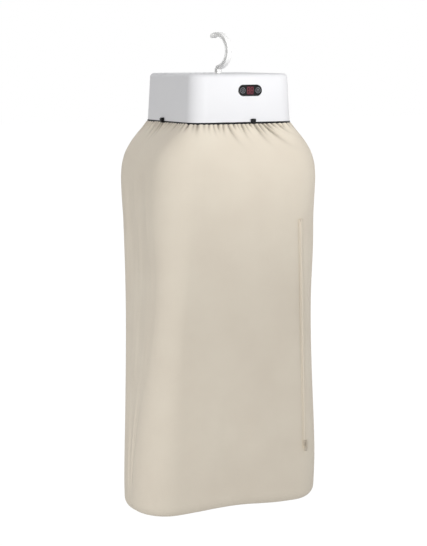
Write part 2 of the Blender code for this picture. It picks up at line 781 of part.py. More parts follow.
def make_panel(panel):
    """The gloss cover, its keys and the boards behind it. Local +Z points out of the front wall."""
    back = PANEL_PROUD - PANEL_THICKNESS
    half_x = PANEL_WIDTH / 2
    half_y = PANEL_HEIGHT / 2
    rings = [
        pill_ring(half_x, half_y, back),
        pill_ring(half_x, half_y, PANEL_PROUD - PANEL_EDGE),
        pill_ring(half_x - PANEL_EDGE, half_y - PANEL_EDGE, PANEL_PROUD),
    ]
    cover = finish(loft(bmesh.new(), rings), "panel_cover", GLOSS_PANEL, panel)
    holes = bmesh.new()
    for x in (-KEY_SPACING / 2, KEY_SPACING / 2):
        ends = (back - CUT_OVERRUN, PANEL_PROUD + CUT_OVERRUN)
        loft(holes, [round_ring(KEY_RADIUS + GAP, z, 24, (x, 0)) for z in ends])
    cut(cover, tool(holes, "key_holes", panel))

    tray_front = -CASING_WALL - GAP
    tray_back = tray_front - TRAY_DEPTH
    tray = finish(
        loft(bmesh.new(), [
            rounded_ring(TRAY_WIDTH / 2, TRAY_HEIGHT / 2, TRAY_WALL, tray_front, 2),
            rounded_ring(TRAY_WIDTH / 2, TRAY_HEIGHT / 2, TRAY_WALL, tray_back, 2),
            rounded_ring(TRAY_WIDTH / 2 - TRAY_WALL, TRAY_HEIGHT / 2 - TRAY_WALL, TRAY_WALL / 2, tray_back, 2),
            rounded_ring(TRAY_WIDTH / 2 - TRAY_WALL, TRAY_HEIGHT / 2 - TRAY_WALL, TRAY_WALL / 2, tray_front, 2),
        ], closed=True),
        "board_tray", BLACK_ABS, panel)
    board_front = tray_back - GAP
    board_back = board_front - BOARD_THICKNESS
    board_size = (TRAY_WIDTH - 2 * BOARD_MARGIN, TRAY_HEIGHT - 2 * BOARD_MARGIN, BOARD_THICKNESS)
    board = block(board_size, (0, 0, (board_front + board_back) / 2))
    finish(board, "control_board", BOARD_GREEN, panel)
    display_foot = board_front + GAP
    display_top = back - GAP
    display = block(
        (DISPLAY_WIDTH, DISPLAY_HEIGHT, display_top - display_foot), (0, 0, (display_foot + display_top) / 2))
    finish(display, "display_module", BLACK_ABS, panel)

    for name, sense in (("power", -1), ("timer", 1)):
        place = (sense * KEY_SPACING / 2, 0)
        switch_foot = board_front + GAP
        switch_top = switch_foot + SWITCH_HEIGHT
        half = SWITCH_SIDE / 2
        body = loft(bmesh.new(), [
            [p + Vector((*place, 0)) for p in rounded_ring(half, half, SWITCH_BUTTON_HEIGHT, z, 1)]
            for z in (switch_foot, switch_top)
        ])
        switch = finish(body, name + "_switch", BLACK_ABS, panel)
        button_top = switch_top + SWITCH_BUTTON_HEIGHT
        rings = [round_ring(SWITCH_BUTTON_RADIUS, z, 10, place) for z in (switch_top - GAP, button_top)]
        fuse(switch, tool(loft(bmesh.new(), rings), name + "_switch_button", panel))

        wall = placed(panel)
        axis = frame(name + "_key_axis", wall @ Vector((*place, 0)), z_axis=wall.col[2].xyz, parent=panel)
        face = PANEL_PROUD + KEY_PROUD
        stem_foot = button_top + KEY_TRAVEL + GAP
        profile = [
            (KEY_STEM_RADIUS, stem_foot),
            (KEY_STEM_RADIUS, face - KEY_THICKNESS),
            (KEY_RADIUS, face - KEY_THICKNESS),
            (KEY_RADIUS, face - KEY_EDGE),
            (KEY_RADIUS - KEY_EDGE, face),
        ]
        finish(turned(profile, 24), name + "_key", KEY_BLACK, axis)


# Power board and inlet

def power_board_centre():
    inner_wall = casing_half(CASING_FOOT) - CASING_WALL
    return inner_wall - POWER_BOARD_FROM_WALL - POWER_BOARD_DEPTH / 2


def standoff_places():
    y = power_board_centre()
    reach_x = POWER_BOARD_WIDTH / 2 - 2 * STANDOFF_RADIUS
    return [(sx * reach_x, y) for sx in (-1, 1)]


def make_power_board():
    y = power_board_centre()
    foot = FLANGE_TOP + STANDOFF_HEIGHT + GAP
    size = (POWER_BOARD_WIDTH, POWER_BOARD_DEPTH, BOARD_THICKNESS)
    finish(block(size, (0, y, foot + BOARD_THICKNESS / 2)), "power_board", BOARD_GREEN)
    seat = foot + BOARD_THICKNESS + GAP
    side = POWER_BOARD_WIDTH / 4
    for name, part, x in (("heater_relay", RELAY_SIZE, -side), ("filter_capacitor", CAPACITOR_SIZE, side)):
        finish(block(part, (x, y, seat + part[2] / 2)), name, BOARD_PARTS)


def make_inlet(rear):
    """The mains inlet: a moulded socket with three blades. Local +Z points out of the rear wall."""
    half_x = INLET_WIDTH / 2
    half_y = INLET_HEIGHT / 2
    flange_back = GAP
    face = flange_back + INLET_FLANGE_THICKNESS
    inside_x = half_x - INLET_WALL
    inside_y = half_y - INLET_WALL
    back = face - INLET_DEPTH
    floor = back + INLET_FLOOR
    corner = INLET_CORNER
    rings = [
        rounded_ring(half_x, half_y, corner, back, 3),
        rounded_ring(half_x, half_y, corner, flange_back, 3),
        rounded_ring(half_x + INLET_FLANGE, half_y + INLET_FLANGE, corner, flange_back, 3),
        rounded_ring(half_x + INLET_FLANGE, half_y + INLET_FLANGE, corner, face, 3),
        rounded_ring(inside_x, inside_y, corner - INLET_WALL, face, 3),
        rounded_ring(inside_x, inside_y, corner - INLET_WALL, floor, 3),
    ]
    socket = finish(loft(bmesh.new(), rings), "inlet_socket", BLACK_ABS, rear)
    slots = bmesh.new()
    wide, tall, long = INLET_PIN_SIZE
    places = {
        "live": (-INLET_PIN_SPACING / 2, -INLET_PIN_DROP),
        "neutral": (INLET_PIN_SPACING / 2, -INLET_PIN_DROP),
        "earth": (0, INLET_EARTH_RISE),
    }
    for name, (x, y) in places.items():
        low = (x - wide / 2 - GAP, y - tall / 2 - GAP, back - CUT_OVERRUN)
        high = (x + wide / 2 + GAP, y + tall / 2 + GAP, floor + CUT_OVERRUN)
        box(slots, low, high)
        tip = face - INLET_PIN_RECESS
        finish(block((wide, tall, long), (x, y, tip - long / 2)), "inlet_pin_" + name, BRASS, rear)
    cut(socket, tool(slots, "pin_slots", rear))


# Hook

def hook_path():
    """Points and forward directions from the shank, through the bend and round over the crest to the tip."""
    middle = HOOK_INNER_RADIUS + HOOK_BAR / 2
    centre_z = -HOOK_INNER_RADIUS
    bend_z = centre_z - sqrt((middle + HOOK_BEND) ** 2 - HOOK_BEND ** 2)
    stations = [((0, CASING_TOP + GAP), (0, 1))]
    turn_end = atan2(centre_z - bend_z, HOOK_BEND)
    for k in range(HOOK_BEND_STEPS + 1):
        turn = turn_end * k / HOOK_BEND_STEPS
        point = (-HOOK_BEND + HOOK_BEND * cos(turn), bend_z + HOOK_BEND * sin(turn))
        stations.append((point, (-sin(turn), cos(turn))))
    start = atan2(bend_z - centre_z, -HOOK_BEND)
    sweep = start + 3 * pi / 2 + HOOK_TIP_ANGLE
    for k in range(1, HOOK_STEPS + 1):
        turn = start - sweep * k / HOOK_STEPS
        point = (middle * cos(turn), centre_z + middle * sin(turn))
        stations.append((point, (sin(turn), -cos(turn))))
    return stations


def hook_section(depth_share, width_share):
    """An I-section: two rims joined by a thinner web, as across and out-of-plane offsets."""
    bar = HOOK_BAR / 2 * depth_share
    wide = HOOK_WIDTH / 2 * width_share
    web = HOOK_WEB / 2 * width_share
    rim = bar - HOOK_RIM * depth_share
    edge = HOOK_RIM / 3 * width_share
    return [
        (bar, wide - edge), (bar - edge, wide), (rim, wide), (rim - edge, web),
        (-rim + edge, web), (-rim, wide), (-bar + edge, wide), (-bar, wide - edge),
        (-bar, -wide + edge), (-bar + edge, -wide), (-rim, -wide), (-rim + edge, -web),
        (rim - edge, -web), (rim, -wide), (bar - edge, -wide), (bar, -wide + edge),
    ]


TIP_SHARES = ((0.45, 0.94), (0.85, 0.60))


def make_hook():
    # At rest the hook stands a little turned on its shank, its round towards the panel's right.
    axis = frame("hook_axis", (0, 0, CASING_TOP), x_axis=(cos(HOOK_REST_TURN), sin(HOOK_REST_TURN), 0))
    stations = hook_path()
    rings = []

    def section(point, forward, depth_share=1.0, width_share=1.0):
        across = Vector((0, forward[1], -forward[0]))
        origin = Vector((0, point[0], point[1] - CASING_TOP))
        return [origin + across * u + Vector((v, 0, 0)) for u, v in hook_section(depth_share, width_share)]

    for point, forward in stations:
        rings.append(section(point, forward))
    end_point, end_forward = stations[-1]
    for reach, share in TIP_SHARES:
        out = HOOK_BAR / 2 * reach
        point = (end_point[0] + end_forward[0] * out, end_point[1] + end_forward[1] * out)
        rings.append(section(point, end_forward, share, share))
    hook = finish(loft(bmesh.new(), rings), "hook", WHITE_ABS, axis)

    bush_foot = -CASING_WALL - BOSS_DEPTH - BUSH_FLANGE_THICKNESS - GAP
    clip_top = bush_foot - GAP
    clip_foot = clip_top - CLIP_THICKNESS
    groove = SHANK_RADIUS - CLIP_GROOVE
    profile = [
        (SHANK_RADIUS, HOOK_RIM),
        (SHANK_RADIUS, clip_top + GAP),
        (groove, clip_top + GAP),
        (groove, clip_foot - GAP),
        (SHANK_RADIUS, clip_foot - GAP),
        (SHANK_RADIUS, clip_foot - SHANK_TAIL + GAP),
        (SHANK_RADIUS - GAP, clip_foot - SHANK_TAIL),
    ]
    fuse(hook, tool(turned(profile, 20), "hook_shank", axis))

    inner = groove + GAP
    outer = inner + CLIP_BAR
    steps = 18
    ring_steps = range(steps + 1)
    bm = bmesh.new()
    rows = []
    for k in ring_steps:
        turn = CLIP_OPENING / 2 + (2 * pi - CLIP_OPENING) * k / steps
        corners = ((inner, clip_foot), (outer, clip_foot), (outer, clip_top), (inner, clip_top))
        rows.append([Vector((r * cos(turn), r * sin(turn), z)) for r, z in corners])
    finish(loft(bm, rows), "hook_clip", STEEL, axis)


def make_hook_bush():
    inner = SHANK_RADIUS + GAP
    outer = inner + BUSH_WALL
    flange_top = CASING_TOP - CASING_WALL - BOSS_DEPTH - GAP
    flange_foot = flange_top - BUSH_FLANGE_THICKNESS
    profile = [
        (inner, CASING_TOP),
        (outer, CASING_TOP),
        (outer, flange_top),
        (outer + BUSH_FLANGE, flange_top),
        (outer + BUSH_FLANGE, flange_foot),
        (inner, flange_foot),
    ]
    finish(turned(profile, 20, closed=True), "hook_bush", NYLON)


# Garment rail

def make_rail():
    count = 16
    half = RAIL_LENGTH / 2

    def lying(ring, y):
        return [Vector((p.x, y, RAIL_HEIGHT + p.y)) for p in ring]

    outer = round_ring(RAIL_RADIUS, 0, count)
    inner = round_ring(RAIL_RADIUS - RAIL_WALL, 0, count)
    rings = [lying(outer, -half), lying(outer, half), lying(inner, half), lying(inner, -half)]
    finish(loft(bmesh.new(), rings, closed=True), "garment_rail", STEEL)

    top = FLANGE_FOOT - GAP
    drop = RAIL_HEIGHT - RAIL_RADIUS - BRACKET_WIDTH / 4
    for name, sense in (("front", -1), ("rear", 1)):
        face = sense * (half - BRACKET_INSET)
        inward = -sense
        outline = [
            (face, top),
            (face, drop),
            (face + inward * BRACKET_PLATE, drop),
            (face + inward * BRACKET_PLATE, top - BRACKET_PLATE),
            (face + inward * BRACKET_FOOT, top - BRACKET_PLATE),
            (face + inward * BRACKET_FOOT, top),
        ]
        bm = extruded(bmesh.new(), outline, -BRACKET_WIDTH / 2, BRACKET_WIDTH / 2, lambda u, v, w: (w, u, v))
        bracket = finish(bm, "rail_bracket_" + name, ZINC)
        hole = round_ring(RAIL_RADIUS + GAP, 0, count)
        ends = (face - CUT_OVERRUN - BRACKET_PLATE, face + CUT_OVERRUN + BRACKET_PLATE)
        cut(bracket, tool(loft(bmesh.new(), [lying(hole, y) for y in ends]), "rail_hole_" + name))

        end = sense * half
        lip = round_ring(RAIL_RADIUS + RAIL_CAP_LIP, 0, count)
        crown = round_ring(RAIL_RADIUS, 0, count)
        spigot = round_ring(RAIL_RADIUS - RAIL_WALL - GAP, 0, count)
        rings = [
            lying(crown, end + sense * (GAP + RAIL_CAP_THICKNESS)),
            lying(lip, end + sense * (GAP + RAIL_CAP_THICKNESS / 2)),
            lying(lip, end + sense * GAP),
            lying(spigot, end + sense * GAP),
            lying(spigot, end - sense * RAIL_CAP_SPIGOT),
        ]
        finish(loft(bmesh.new(), rings), "rail_cap_" + name, BLACK_ABS)


# Bag

BAG_NECK_SHARES = ((0, 0), (0.04, 0.09), (0.10, 0.21), (0.22, 0.43), (0.38, 0.67), (0.58, 0.88), (0.80, 0.98))
BAG_BODY_ROWS = 8
BAG_FOOT_STEPS = 4


def bag_half_depth(drop):
    """Half the bag's depth below its shoulder: the front and the back are flat and close in downwards."""
    foot_drop = BAG_LENGTH - BAG_FOOT_ROUND
    share = (drop - BAG_SHOULDER_DROP) / (foot_drop - BAG_SHOULDER_DROP)
    return (BAG_SHOULDER_DEPTH + (BAG_FOOT_DEPTH - BAG_SHOULDER_DEPTH) * share) / 2


def bag_half_width(drop):
    """Half the bag's width below its shoulder: a slack waist, then wider to the foot."""
    if drop < BAG_WAIST_DROP:
        share = (drop - BAG_SHOULDER_DROP) / (BAG_WAIST_DROP - BAG_SHOULDER_DROP)
        eased = share * share * (3 - 2 * share)
        return (BAG_SHOULDER_WIDTH + (BAG_WAIST_WIDTH - BAG_SHOULDER_WIDTH) * eased) / 2
    share = (drop - BAG_WAIST_DROP) / (BAG_LENGTH - BAG_FOOT_ROUND - BAG_WAIST_DROP)
    eased = share * share * (3 - 2 * share)
    return (BAG_WAIST_WIDTH + (BAG_FOOT_WIDTH - BAG_WAIST_WIDTH) * eased) / 2


def zip_x(drop):
    """How far to the right the zip lies: a straight line between its two ends on the rounding."""
    foot_drop = ZIP_TOP_DROP + ZIP_LENGTH
    top = bag_half_width(ZIP_TOP_DROP) - BAG_SHOULDER_CORNER * (1 - sin(ZIP_TILT))
    foot = bag_half_width(foot_drop) - BAG_CORNER * (1 - sin(ZIP_TILT))
    return top + (foot - top) * (drop - ZIP_TOP_DROP) / (foot_drop - ZIP_TOP_DROP)


def bag_corner(drop):
    """The radius of the bag's upright corners, eased so that the zip lies on them in a straight line."""
    if drop <= ZIP_TOP_DROP:
        return BAG_SHOULDER_CORNER
    if drop >= ZIP_TOP_DROP + ZIP_LENGTH:
        return BAG_CORNER
    return (bag_half_width(drop) - zip_x(drop)) / (1 - sin(ZIP_TILT))


def bag_neck_half():
    """Half the width of the bag's neck outside, over the elastic band on the collar."""
    return COLLAR_SIDE / 2 + GAP + BAND_THICKNESS + GAP + BAG_CLOTH


def bag_rings(inset):
    """The rings of the bag's outer or inner skin, from its neck to its foot."""
    neck = bag_neck_half()
    neck_corner = CASING_CORNER
    rings = []
    for drop_share, spread in BAG_NECK_SHARES:
        half_x = neck + (BAG_SHOULDER_WIDTH / 2 - neck) * spread
        half_y = neck + (BAG_SHOULDER_DEPTH / 2 - neck) * spread
        corner = neck_corner + (BAG_SHOULDER_CORNER - neck_corner) * spread
        rings.append((half_x, half_y, corner, BAG_SHOULDER_DROP * drop_share))
    foot_drop = BAG_LENGTH - BAG_FOOT_ROUND
    drops = [BAG_SHOULDER_DROP, (BAG_SHOULDER_DROP + ZIP_TOP_DROP) / 2]
    for k in range(BAG_BODY_ROWS + 1):
        drops.append(ZIP_TOP_DROP + (foot_drop - ZIP_TOP_DROP) * k / BAG_BODY_ROWS)
    for drop in drops:
        rings.append((bag_half_width(drop), bag_half_depth(drop), bag_corner(drop), drop))
    edge = BAG_FOOT_ROUND - inset
    for k in range(1, BAG_FOOT_STEPS + 1):
        turn = pi / 2 * k / BAG_FOOT_STEPS
        back = BAG_FOOT_ROUND - edge * cos(turn) - inset
        corner = max(BAG_CORNER - back, BAG_CLOTH + inset)
        rings.append((BAG_FOOT_WIDTH / 2 - back, BAG_FOOT_DEPTH / 2 - back, corner, foot_drop + edge * sin(turn)))
    return [rounded_ring(x - inset, y - inset, corner - inset, -drop) for x, y, corner, drop in rings]


def make_bag():
    hang = frame("bag_axis", (0, 0, BAG_TOP))
    outer = bag_rings(0)
    inner = bag_rings(BAG_CLOTH)
    bm = bmesh.new()
    outer_rows = [[bm.verts.new(p) for p in ring] for ring in outer]
    inner_rows = [[bm.verts.new(p) for p in ring] for ring in inner]
    rows = list(reversed(outer_rows)) + inner_rows
    for low, high in zip(rows, rows[1:]):
        for k in range(len(low)):
            nxt = (k + 1) % len(low)
            bm.faces.new((low[k], low[nxt], high[nxt], high[k]))
    bm.faces.new(outer_rows[-1])
    bm.faces.new(list(reversed(inner_rows[-1])))
    finish(bm, "bag_shell", FABRIC, hang, radians(60))

    inside = COLLAR_SIDE / 2 + GAP
    outside = inside + BAND_THICKNESS
    flange_corner = CASING_CORNER + (FLANGE_SIDE - CASING_SIDE) / 2
    inside_corner = flange_corner - (FLANGE_SIDE - COLLAR_SIDE) / 2 + GAP
    rings = [
        rounded_ring(inside, inside, inside_corner, -BAND_HEIGHT),
        rounded_ring(outside, outside, inside_corner + BAND_THICKNESS, -BAND_HEIGHT),
        rounded_ring(outside, outside, inside_corner + BAND_THICKNESS, 0),
        rounded_ring(inside, inside, inside_corner, 0),
    ]
    finish(loft(bmesh.new(), rings, closed=True), "bag_neck_band", ELASTIC, hang)
    return hang


# Zip

def zip_end(drop):
    """A point of the zip's line, just off the rounding between the bag's front and its right side."""
    corner = bag_corner(drop)
    back = corner * (1 - cos(ZIP_TILT))
    out = Vector((sin(ZIP_TILT), -cos(ZIP_TILT), 0)) * ZIP_LIFT
    return Vector((zip_x(drop), back - bag_half_depth(drop), BAG_TOP - drop)) + out


def make_zip(hang):
    """Tape and teeth down the bag's corner. Local +Z points up the zip, local -Y out of the bag."""
    top = zip_end(ZIP_TOP_DROP)
    foot = zip_end(ZIP_TOP_DROP + ZIP_LENGTH)
    across = (cos(ZIP_TILT), sin(ZIP_TILT), 0)
    along = frame("zip_line", foot, across, top - foot, hang)
    length = (top - foot).length
    tape_face = -GAP - ZIP_TAPE_THICKNESS
    half = ZIP_TAPE_WIDTH / 2
    tape = box(bmesh.new(), (-half, tape_face, 0), (half, -GAP, length))
    finish(tape, "zip_tape", ZIP_CLOTH, along)

    teeth_back = tape_face - GAP
    teeth_face = teeth_back - ZIP_TEETH_THICKNESS
    half = ZIP_TEETH_WIDTH / 2
    edge = ZIP_TEETH_THICKNESS / 2
    outline = [
        (-half, teeth_back), (half, teeth_back), (half, teeth_back - edge),
        (half - edge, teeth_face), (-half + edge, teeth_face), (-half, teeth_back - edge),
    ]
    start = ZIP_STOP_LENGTH
    teeth = extruded(bmesh.new(), outline, start, length - ZIP_STOP_LENGTH, lambda u, v, w: (u, v, w))
    finish(teeth, "zip_teeth", ZIP_CLOTH, along)

    stop_half = half + GAP + ZIP_STOP_WALL
    for name, low in (("bottom", 0), ("top", length - ZIP_STOP_LENGTH + GAP)):
        high = low + ZIP_STOP_LENGTH - GAP
        stop = box(bmesh.new(), (-stop_half, teeth_face - ZIP_STOP_WALL, low), (stop_half, teeth_back, high))
        finish(stop, "zip_" + name + "_stop", ZINC, along)

    make_slider(along, across, teeth_back, teeth_face)


def make_slider(along, across, teeth_back, teeth_face):
    """The slider, parked just above the bottom stop, and the pull that hangs from its bridge."""
    place = placed(along)
    start = ZIP_STOP_LENGTH + GAP
    up = place.to_3x3() @ Vector((0, 0, 1))
    axis = frame("slider_axis", place @ Vector((0, 0, start)), across, up, along)
    half = SLIDER_WIDTH / 2
    channel = ZIP_TEETH_WIDTH / 2 + GAP
    under = teeth_face - GAP
    face = under - SLIDER_PLATE
    outline = [
        (-half, teeth_back), (-channel, teeth_back), (-channel, under), (channel, under),
        (channel, teeth_back), (half, teeth_back), (half, face + SLIDER_PLATE / 2), (half - SLIDER_PLATE / 2, face),
        (-half + SLIDER_PLATE / 2, face), (-half, face + SLIDER_PLATE / 2),
    ]
    body = extruded(bmesh.new(), outline, 0, SLIDER_LENGTH, lambda u, v, w: (u, v, w))
    slider = finish(body, "zip_slider", ZINC, axis)

    room = PULL_BAR / 2 + GAP
    centre_y = face - room
    middle = SLIDER_LENGTH / 2
    outer = room + SLIDER_BRIDGE_WALL
    bridge = [
        (face + SLIDER_PLATE / 2, middle - outer),
        (centre_y - outer + room / 2, middle - outer),
        (centre_y - outer, middle - room / 2),
        (centre_y - outer, middle + room / 2),
        (centre_y - outer + room / 2, middle + outer),
        (face + SLIDER_PLATE / 2, middle + outer),
    ]
    half_bridge = SLIDER_BRIDGE_WIDTH / 2
    arch = extruded(bmesh.new(), bridge, -half_bridge, half_bridge, lambda u, v, w: (w, u, v))
    fuse(slider, tool(arch, "slider_bridge", axis))
    eye = round_eye(centre_y, middle, room, half_bridge + CUT_OVERRUN)
    cut(slider, tool(eye, "slider_eye", axis))

    hinge = frame("pull_axis", placed(axis) @ Vector((0, centre_y, middle)), across, parent=axis)
    half = PULL_WIDTH / 2
    eye_half = half_bridge + GAP
    bar = PULL_BAR / 2
    tab = box(bmesh.new(), (-half, -bar, -PULL_LENGTH), (half, bar, bar))
    pull = finish(tab, "zip_pull", ZINC, hinge)
    window = box(bmesh.new(), (-eye_half, -bar - CUT_OVERRUN, -PULL_EYE), (eye_half, bar + CUT_OVERRUN, -bar))
    cut(pull, tool(window, "pull_eye", hinge))


def round_eye(y, z, radius, reach):
    rings = []
    for x in (-reach, reach):
        ring = []
        for k in range(12):
            turn = 2 * pi * k / 12
            ring.append(Vector((x, y + radius * sqrt(2) * cos(turn), z + radius * sqrt(2) * sin(turn))))
        rings.append(ring)
    return loft(bmesh.new(), rings)


def wall_frame(name, x, drop, outward):
    """A frame on the leaning front or rear wall: local +Z points out, local +Y up the wall."""
    z = CASING_TOP - drop
    y = outward * casing_half(z)
    normal = (0, outward * cos(WALL_LEAN), sin(WALL_LEAN))
    return frame(name, (x, y, z), (-outward, 0, 0), normal)


panel = wall_frame("panel_frame", PANEL_OFFSET, PANEL_DROP, -1)
rear = wall_frame("inlet_frame", 0, INLET_DROP, 1)
make_casing(panel, rear)
make_catches()
make_base_plate()
make_base_screws()
make_grille()
make_duct()
make_motor_mount()
make_motor()
make_rotor()
make_heater()
make_panel(panel)
make_power_board()
make_inlet(rear)
make_hook()
make_hook_bush()
make_rail()
make_zip(make_bag())
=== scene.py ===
from math import atan2, cos, pi, radians, sin, sqrt

import bmesh
import bpy
import numpy as np
from mathutils import Matrix, Vector


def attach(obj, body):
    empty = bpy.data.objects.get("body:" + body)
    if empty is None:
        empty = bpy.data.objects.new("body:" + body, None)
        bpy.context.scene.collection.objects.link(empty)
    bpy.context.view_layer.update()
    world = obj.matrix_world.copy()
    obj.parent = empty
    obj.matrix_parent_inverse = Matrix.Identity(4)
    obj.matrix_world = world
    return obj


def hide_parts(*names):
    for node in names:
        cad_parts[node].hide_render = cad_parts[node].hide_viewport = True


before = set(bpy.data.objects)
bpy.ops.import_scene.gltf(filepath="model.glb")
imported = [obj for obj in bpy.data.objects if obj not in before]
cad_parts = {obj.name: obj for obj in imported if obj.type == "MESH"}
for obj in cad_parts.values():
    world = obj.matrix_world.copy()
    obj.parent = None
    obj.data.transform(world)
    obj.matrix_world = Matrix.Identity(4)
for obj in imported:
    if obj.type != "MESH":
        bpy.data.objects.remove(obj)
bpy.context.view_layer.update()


# The studio: a camera before the dryer's left front corner, a plain pale floor below the hanging bag, a
# narrow lamp before the head, soft fills at the left front and low at the right, a lamp above, an even sky.

VIEW_TURN = radians(27.5)
VIEW_DROP = radians(7.39)
VIEW_DISTANCE = 4.2
VIEW_ASIDE = -0.0108
VIEW_HEIGHT = -0.0228
FOCAL_LENGTH = 1750
FRAME_HEIGHT = 546
SKY_LEVEL = 0.48
FLOOR_HEIGHT = -1.62
FLOOR_SIZE = 60
FLOOR_WHITE_SHARE = 0.88
FLOOR_WHITE_LEVEL = 1.12


def clear():
    """Leaves edit mode and deselects everything."""
    if bpy.context.object is not None and bpy.context.object.mode != "OBJECT":
        bpy.ops.object.mode_set(mode="OBJECT")
    bpy.ops.object.select_all(action="DESELECT")


def placed(name, data):
    """A new object in the scene."""
    item = bpy.data.objects.new(name, data)
    bpy.context.scene.collection.objects.link(item)
    return item


def linear(colour):
    """An sRGB hex colour as the linear values that a shader takes."""
    values = [int(colour[k:k + 2], 16) / 255 for k in (1, 3, 5)]
    return [v / 12.92 if v <= 0.04045 else ((v + 0.055) / 1.055) ** 2.4 for v in values] + [1]


def feed(tree, node, feeds):
    """Sets a node's inputs to values, or links them to outputs. A node stands for its first output."""
    for name, value in feeds.items():
        if isinstance(value, bpy.types.Node):
            value = value.outputs[0]
        if isinstance(value, bpy.types.NodeSocket):
            tree.links.new(value, node.inputs[name])
        else:
            node.inputs[name].default_value = value
    return node


def add(tree, kind, feeds, **settings):
    """Adds a node with its inputs and its settings."""
    node = tree.nodes.new("ShaderNode" + kind)
    for name, value in settings.items():
        setattr(node, name, value)
    return feed(tree, node, feeds)


def fresh(name):
    """A new material and its node tree."""
    material = bpy.data.materials.new(name)
    material.use_nodes = True
    return material, material.node_tree


def surface(tree, feeds):
    """Sets the inputs of a material's main shader."""
    return feed(tree, tree.nodes["Principled BSDF"], feeds)


def seen_by(tree, *kinds):
    """One for rays of these kinds, nought for all others."""
    rays = add(tree, "LightPath", {}).outputs
    share = rays["Is " + kinds[0] + " Ray"]
    for kind in kinds[1:]:
        share = add(tree, "Math", {0: share, 1: rays["Is " + kind + " Ray"]}, operation="MAXIMUM")
    return share


camera = placed("camera", bpy.data.cameras.new("camera"))
camera.data.lens = FOCAL_LENGTH / FRAME_HEIGHT * camera.data.sensor_width
camera.location = (
    VIEW_ASIDE * cos(VIEW_TURN) - VIEW_DISTANCE * sin(VIEW_TURN),
    -VIEW_ASIDE * sin(VIEW_TURN) - VIEW_DISTANCE * cos(VIEW_TURN),
    VIEW_HEIGHT,
)
camera.rotation_euler = (pi / 2 - VIEW_DROP, 0, -VIEW_TURN)
bpy.context.scene.camera = camera
bpy.context.scene.view_settings.view_transform = "Standard"

# Each lamp has a place, a place that it points at, its width, its power and its beam's angle in degrees.
for lamp_name, place, aim, size, power, spread in (
    ("head_lamp", (0.4, -3.0, 0.18), (0.04, 0, 0.11), 0.5, 1.28, 24),
    ("fill_lamp", (-2.3, -2.5, -0.85), (0, 0, -0.83), 1.6, 4.0, 46),
    ("side_lamp", (3.0, -0.4, -1.3), (0, 0, -0.70), 0.8, 0.70, 28),
    ("top_lamp", (-0.2, 0.9, 2.2), (0, 0, -0.3), 1.6, 7, 180),
):
    lamp = placed(lamp_name, bpy.data.lights.new(lamp_name, "AREA"))
    lamp.location = place
    lamp.rotation_euler = (Vector(aim) - Vector(place)).to_track_quat("-Z", "Y").to_euler()
    lamp.data.size = size
    lamp.data.energy = power
    lamp.data.spread = radians(spread)

# The sky lights the dryer softly, and is plain white where it is seen directly or in a reflection.
sky = bpy.data.worlds.new("studio_sky")
sky.use_nodes = True
bpy.context.scene.world = sky
sky_tree = sky.node_tree
sky_seen = seen_by(sky_tree, "Camera", "Glossy", "Transmission")
sky_strength = add(sky_tree, "MapRange", {"Value": sky_seen, "To Min": SKY_LEVEL, "To Max": 1.0})
feed(sky_tree, sky_tree.nodes["Background"], {"Color": (1, 1, 1, 1), "Strength": sky_strength})

# The floor is a matt pale screed. Seen directly it is nearly as white as the sky, and it keeps a soft shadow.
clear()
bpy.ops.mesh.primitive_plane_add(size=FLOOR_SIZE, location=(0, 0, FLOOR_HEIGHT))
floor = bpy.context.object
floor.name = "studio_floor"
pale_floor, floor_tree = fresh("pale_matt_floor")
floor_paint = surface(floor_tree, {"Base Color": linear("#E6E6E4"), "Roughness": 0.9})
floor_seen = seen_by(floor_tree, "Camera", "Glossy")
floor_share = add(floor_tree, "Math", {0: floor_seen, 1: FLOOR_WHITE_SHARE}, operation="MULTIPLY")
floor_white = add(floor_tree, "Emission", {"Color": (1, 1, 1, 1), "Strength": FLOOR_WHITE_LEVEL})
floor_mix = add(floor_tree, "MixShader", {0: floor_share, 1: floor_paint, 2: floor_white})
feed(floor_tree, floor_tree.nodes["Material Output"], {"Surface": floor_mix})
floor.data.materials.append(pale_floor)


# The base plate: black injection-moulded ABS, one piece with its flange, which shows as the dark line
# under the white casing, and the collar that the bag grips. The grille is moulded apart and clips in.

MERGE = 0.00002
FLAT_ANGLE = radians(0.5)
CLOUD_SCALE = 14.0


def moulded(name, colour, second, roughness, grain, depth, shine=0.5):
    """A moulded plastic: a colour with faint flow clouds, a spark-eroded grain and an uneven gloss."""
    material, tree = fresh(name)
    place = add(tree, "TexCoord", {}).outputs["Object"]
    cloud = add(tree, "TexNoise", {"Vector": place, "Scale": CLOUD_SCALE, "Detail": 2.0})
    tone = add(tree, "MixRGB", {"Fac": cloud, "Color1": linear(colour), "Color2": linear(second)})
    grit = add(tree, "TexNoise", {"Vector": place, "Scale": 1 / grain, "Detail": 2.0, "Roughness": 0.6})
    gloss = add(tree, "MapRange", {
        "Value": grit, "From Min": 0.3, "From Max": 0.7,
        "To Min": roughness - 0.04, "To Max": roughness + 0.06,
    })
    relief = add(tree, "Bump", {"Height": grit, "Strength": 0.5, "Distance": depth})
    surface(tree, {
        "Base Color": tone, "Roughness": gloss, "Normal": relief, "IOR": 1.54, "Specular IOR Level": shine,
    })
    return material


def take(piece):
    """Makes a piece the active one and the only one selected."""
    clear()
    bpy.context.view_layer.objects.active = piece
    piece.select_set(True)


def edit():
    """Enters edit mode."""
    bpy.ops.object.mode_set(mode="EDIT")


def done():
    """Leaves edit mode."""
    bpy.ops.object.mode_set(mode="OBJECT")


def settle(piece, material, body, node=None):
    """Gives a piece its material and its body and, where there is one, hides the solid it stands for."""
    piece.data.materials.clear()
    piece.data.materials.append(material)
    if node:
        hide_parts(node)
    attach(piece, body)


def change(piece, kind, **settings):
    """Applies a modifier with its settings to the active piece."""
    modifier = piece.modifiers.new(kind.lower(), kind)
    for name, value in settings.items():
        setattr(modifier, name, value)
    bpy.ops.object.modifier_apply(modifier=modifier.name)


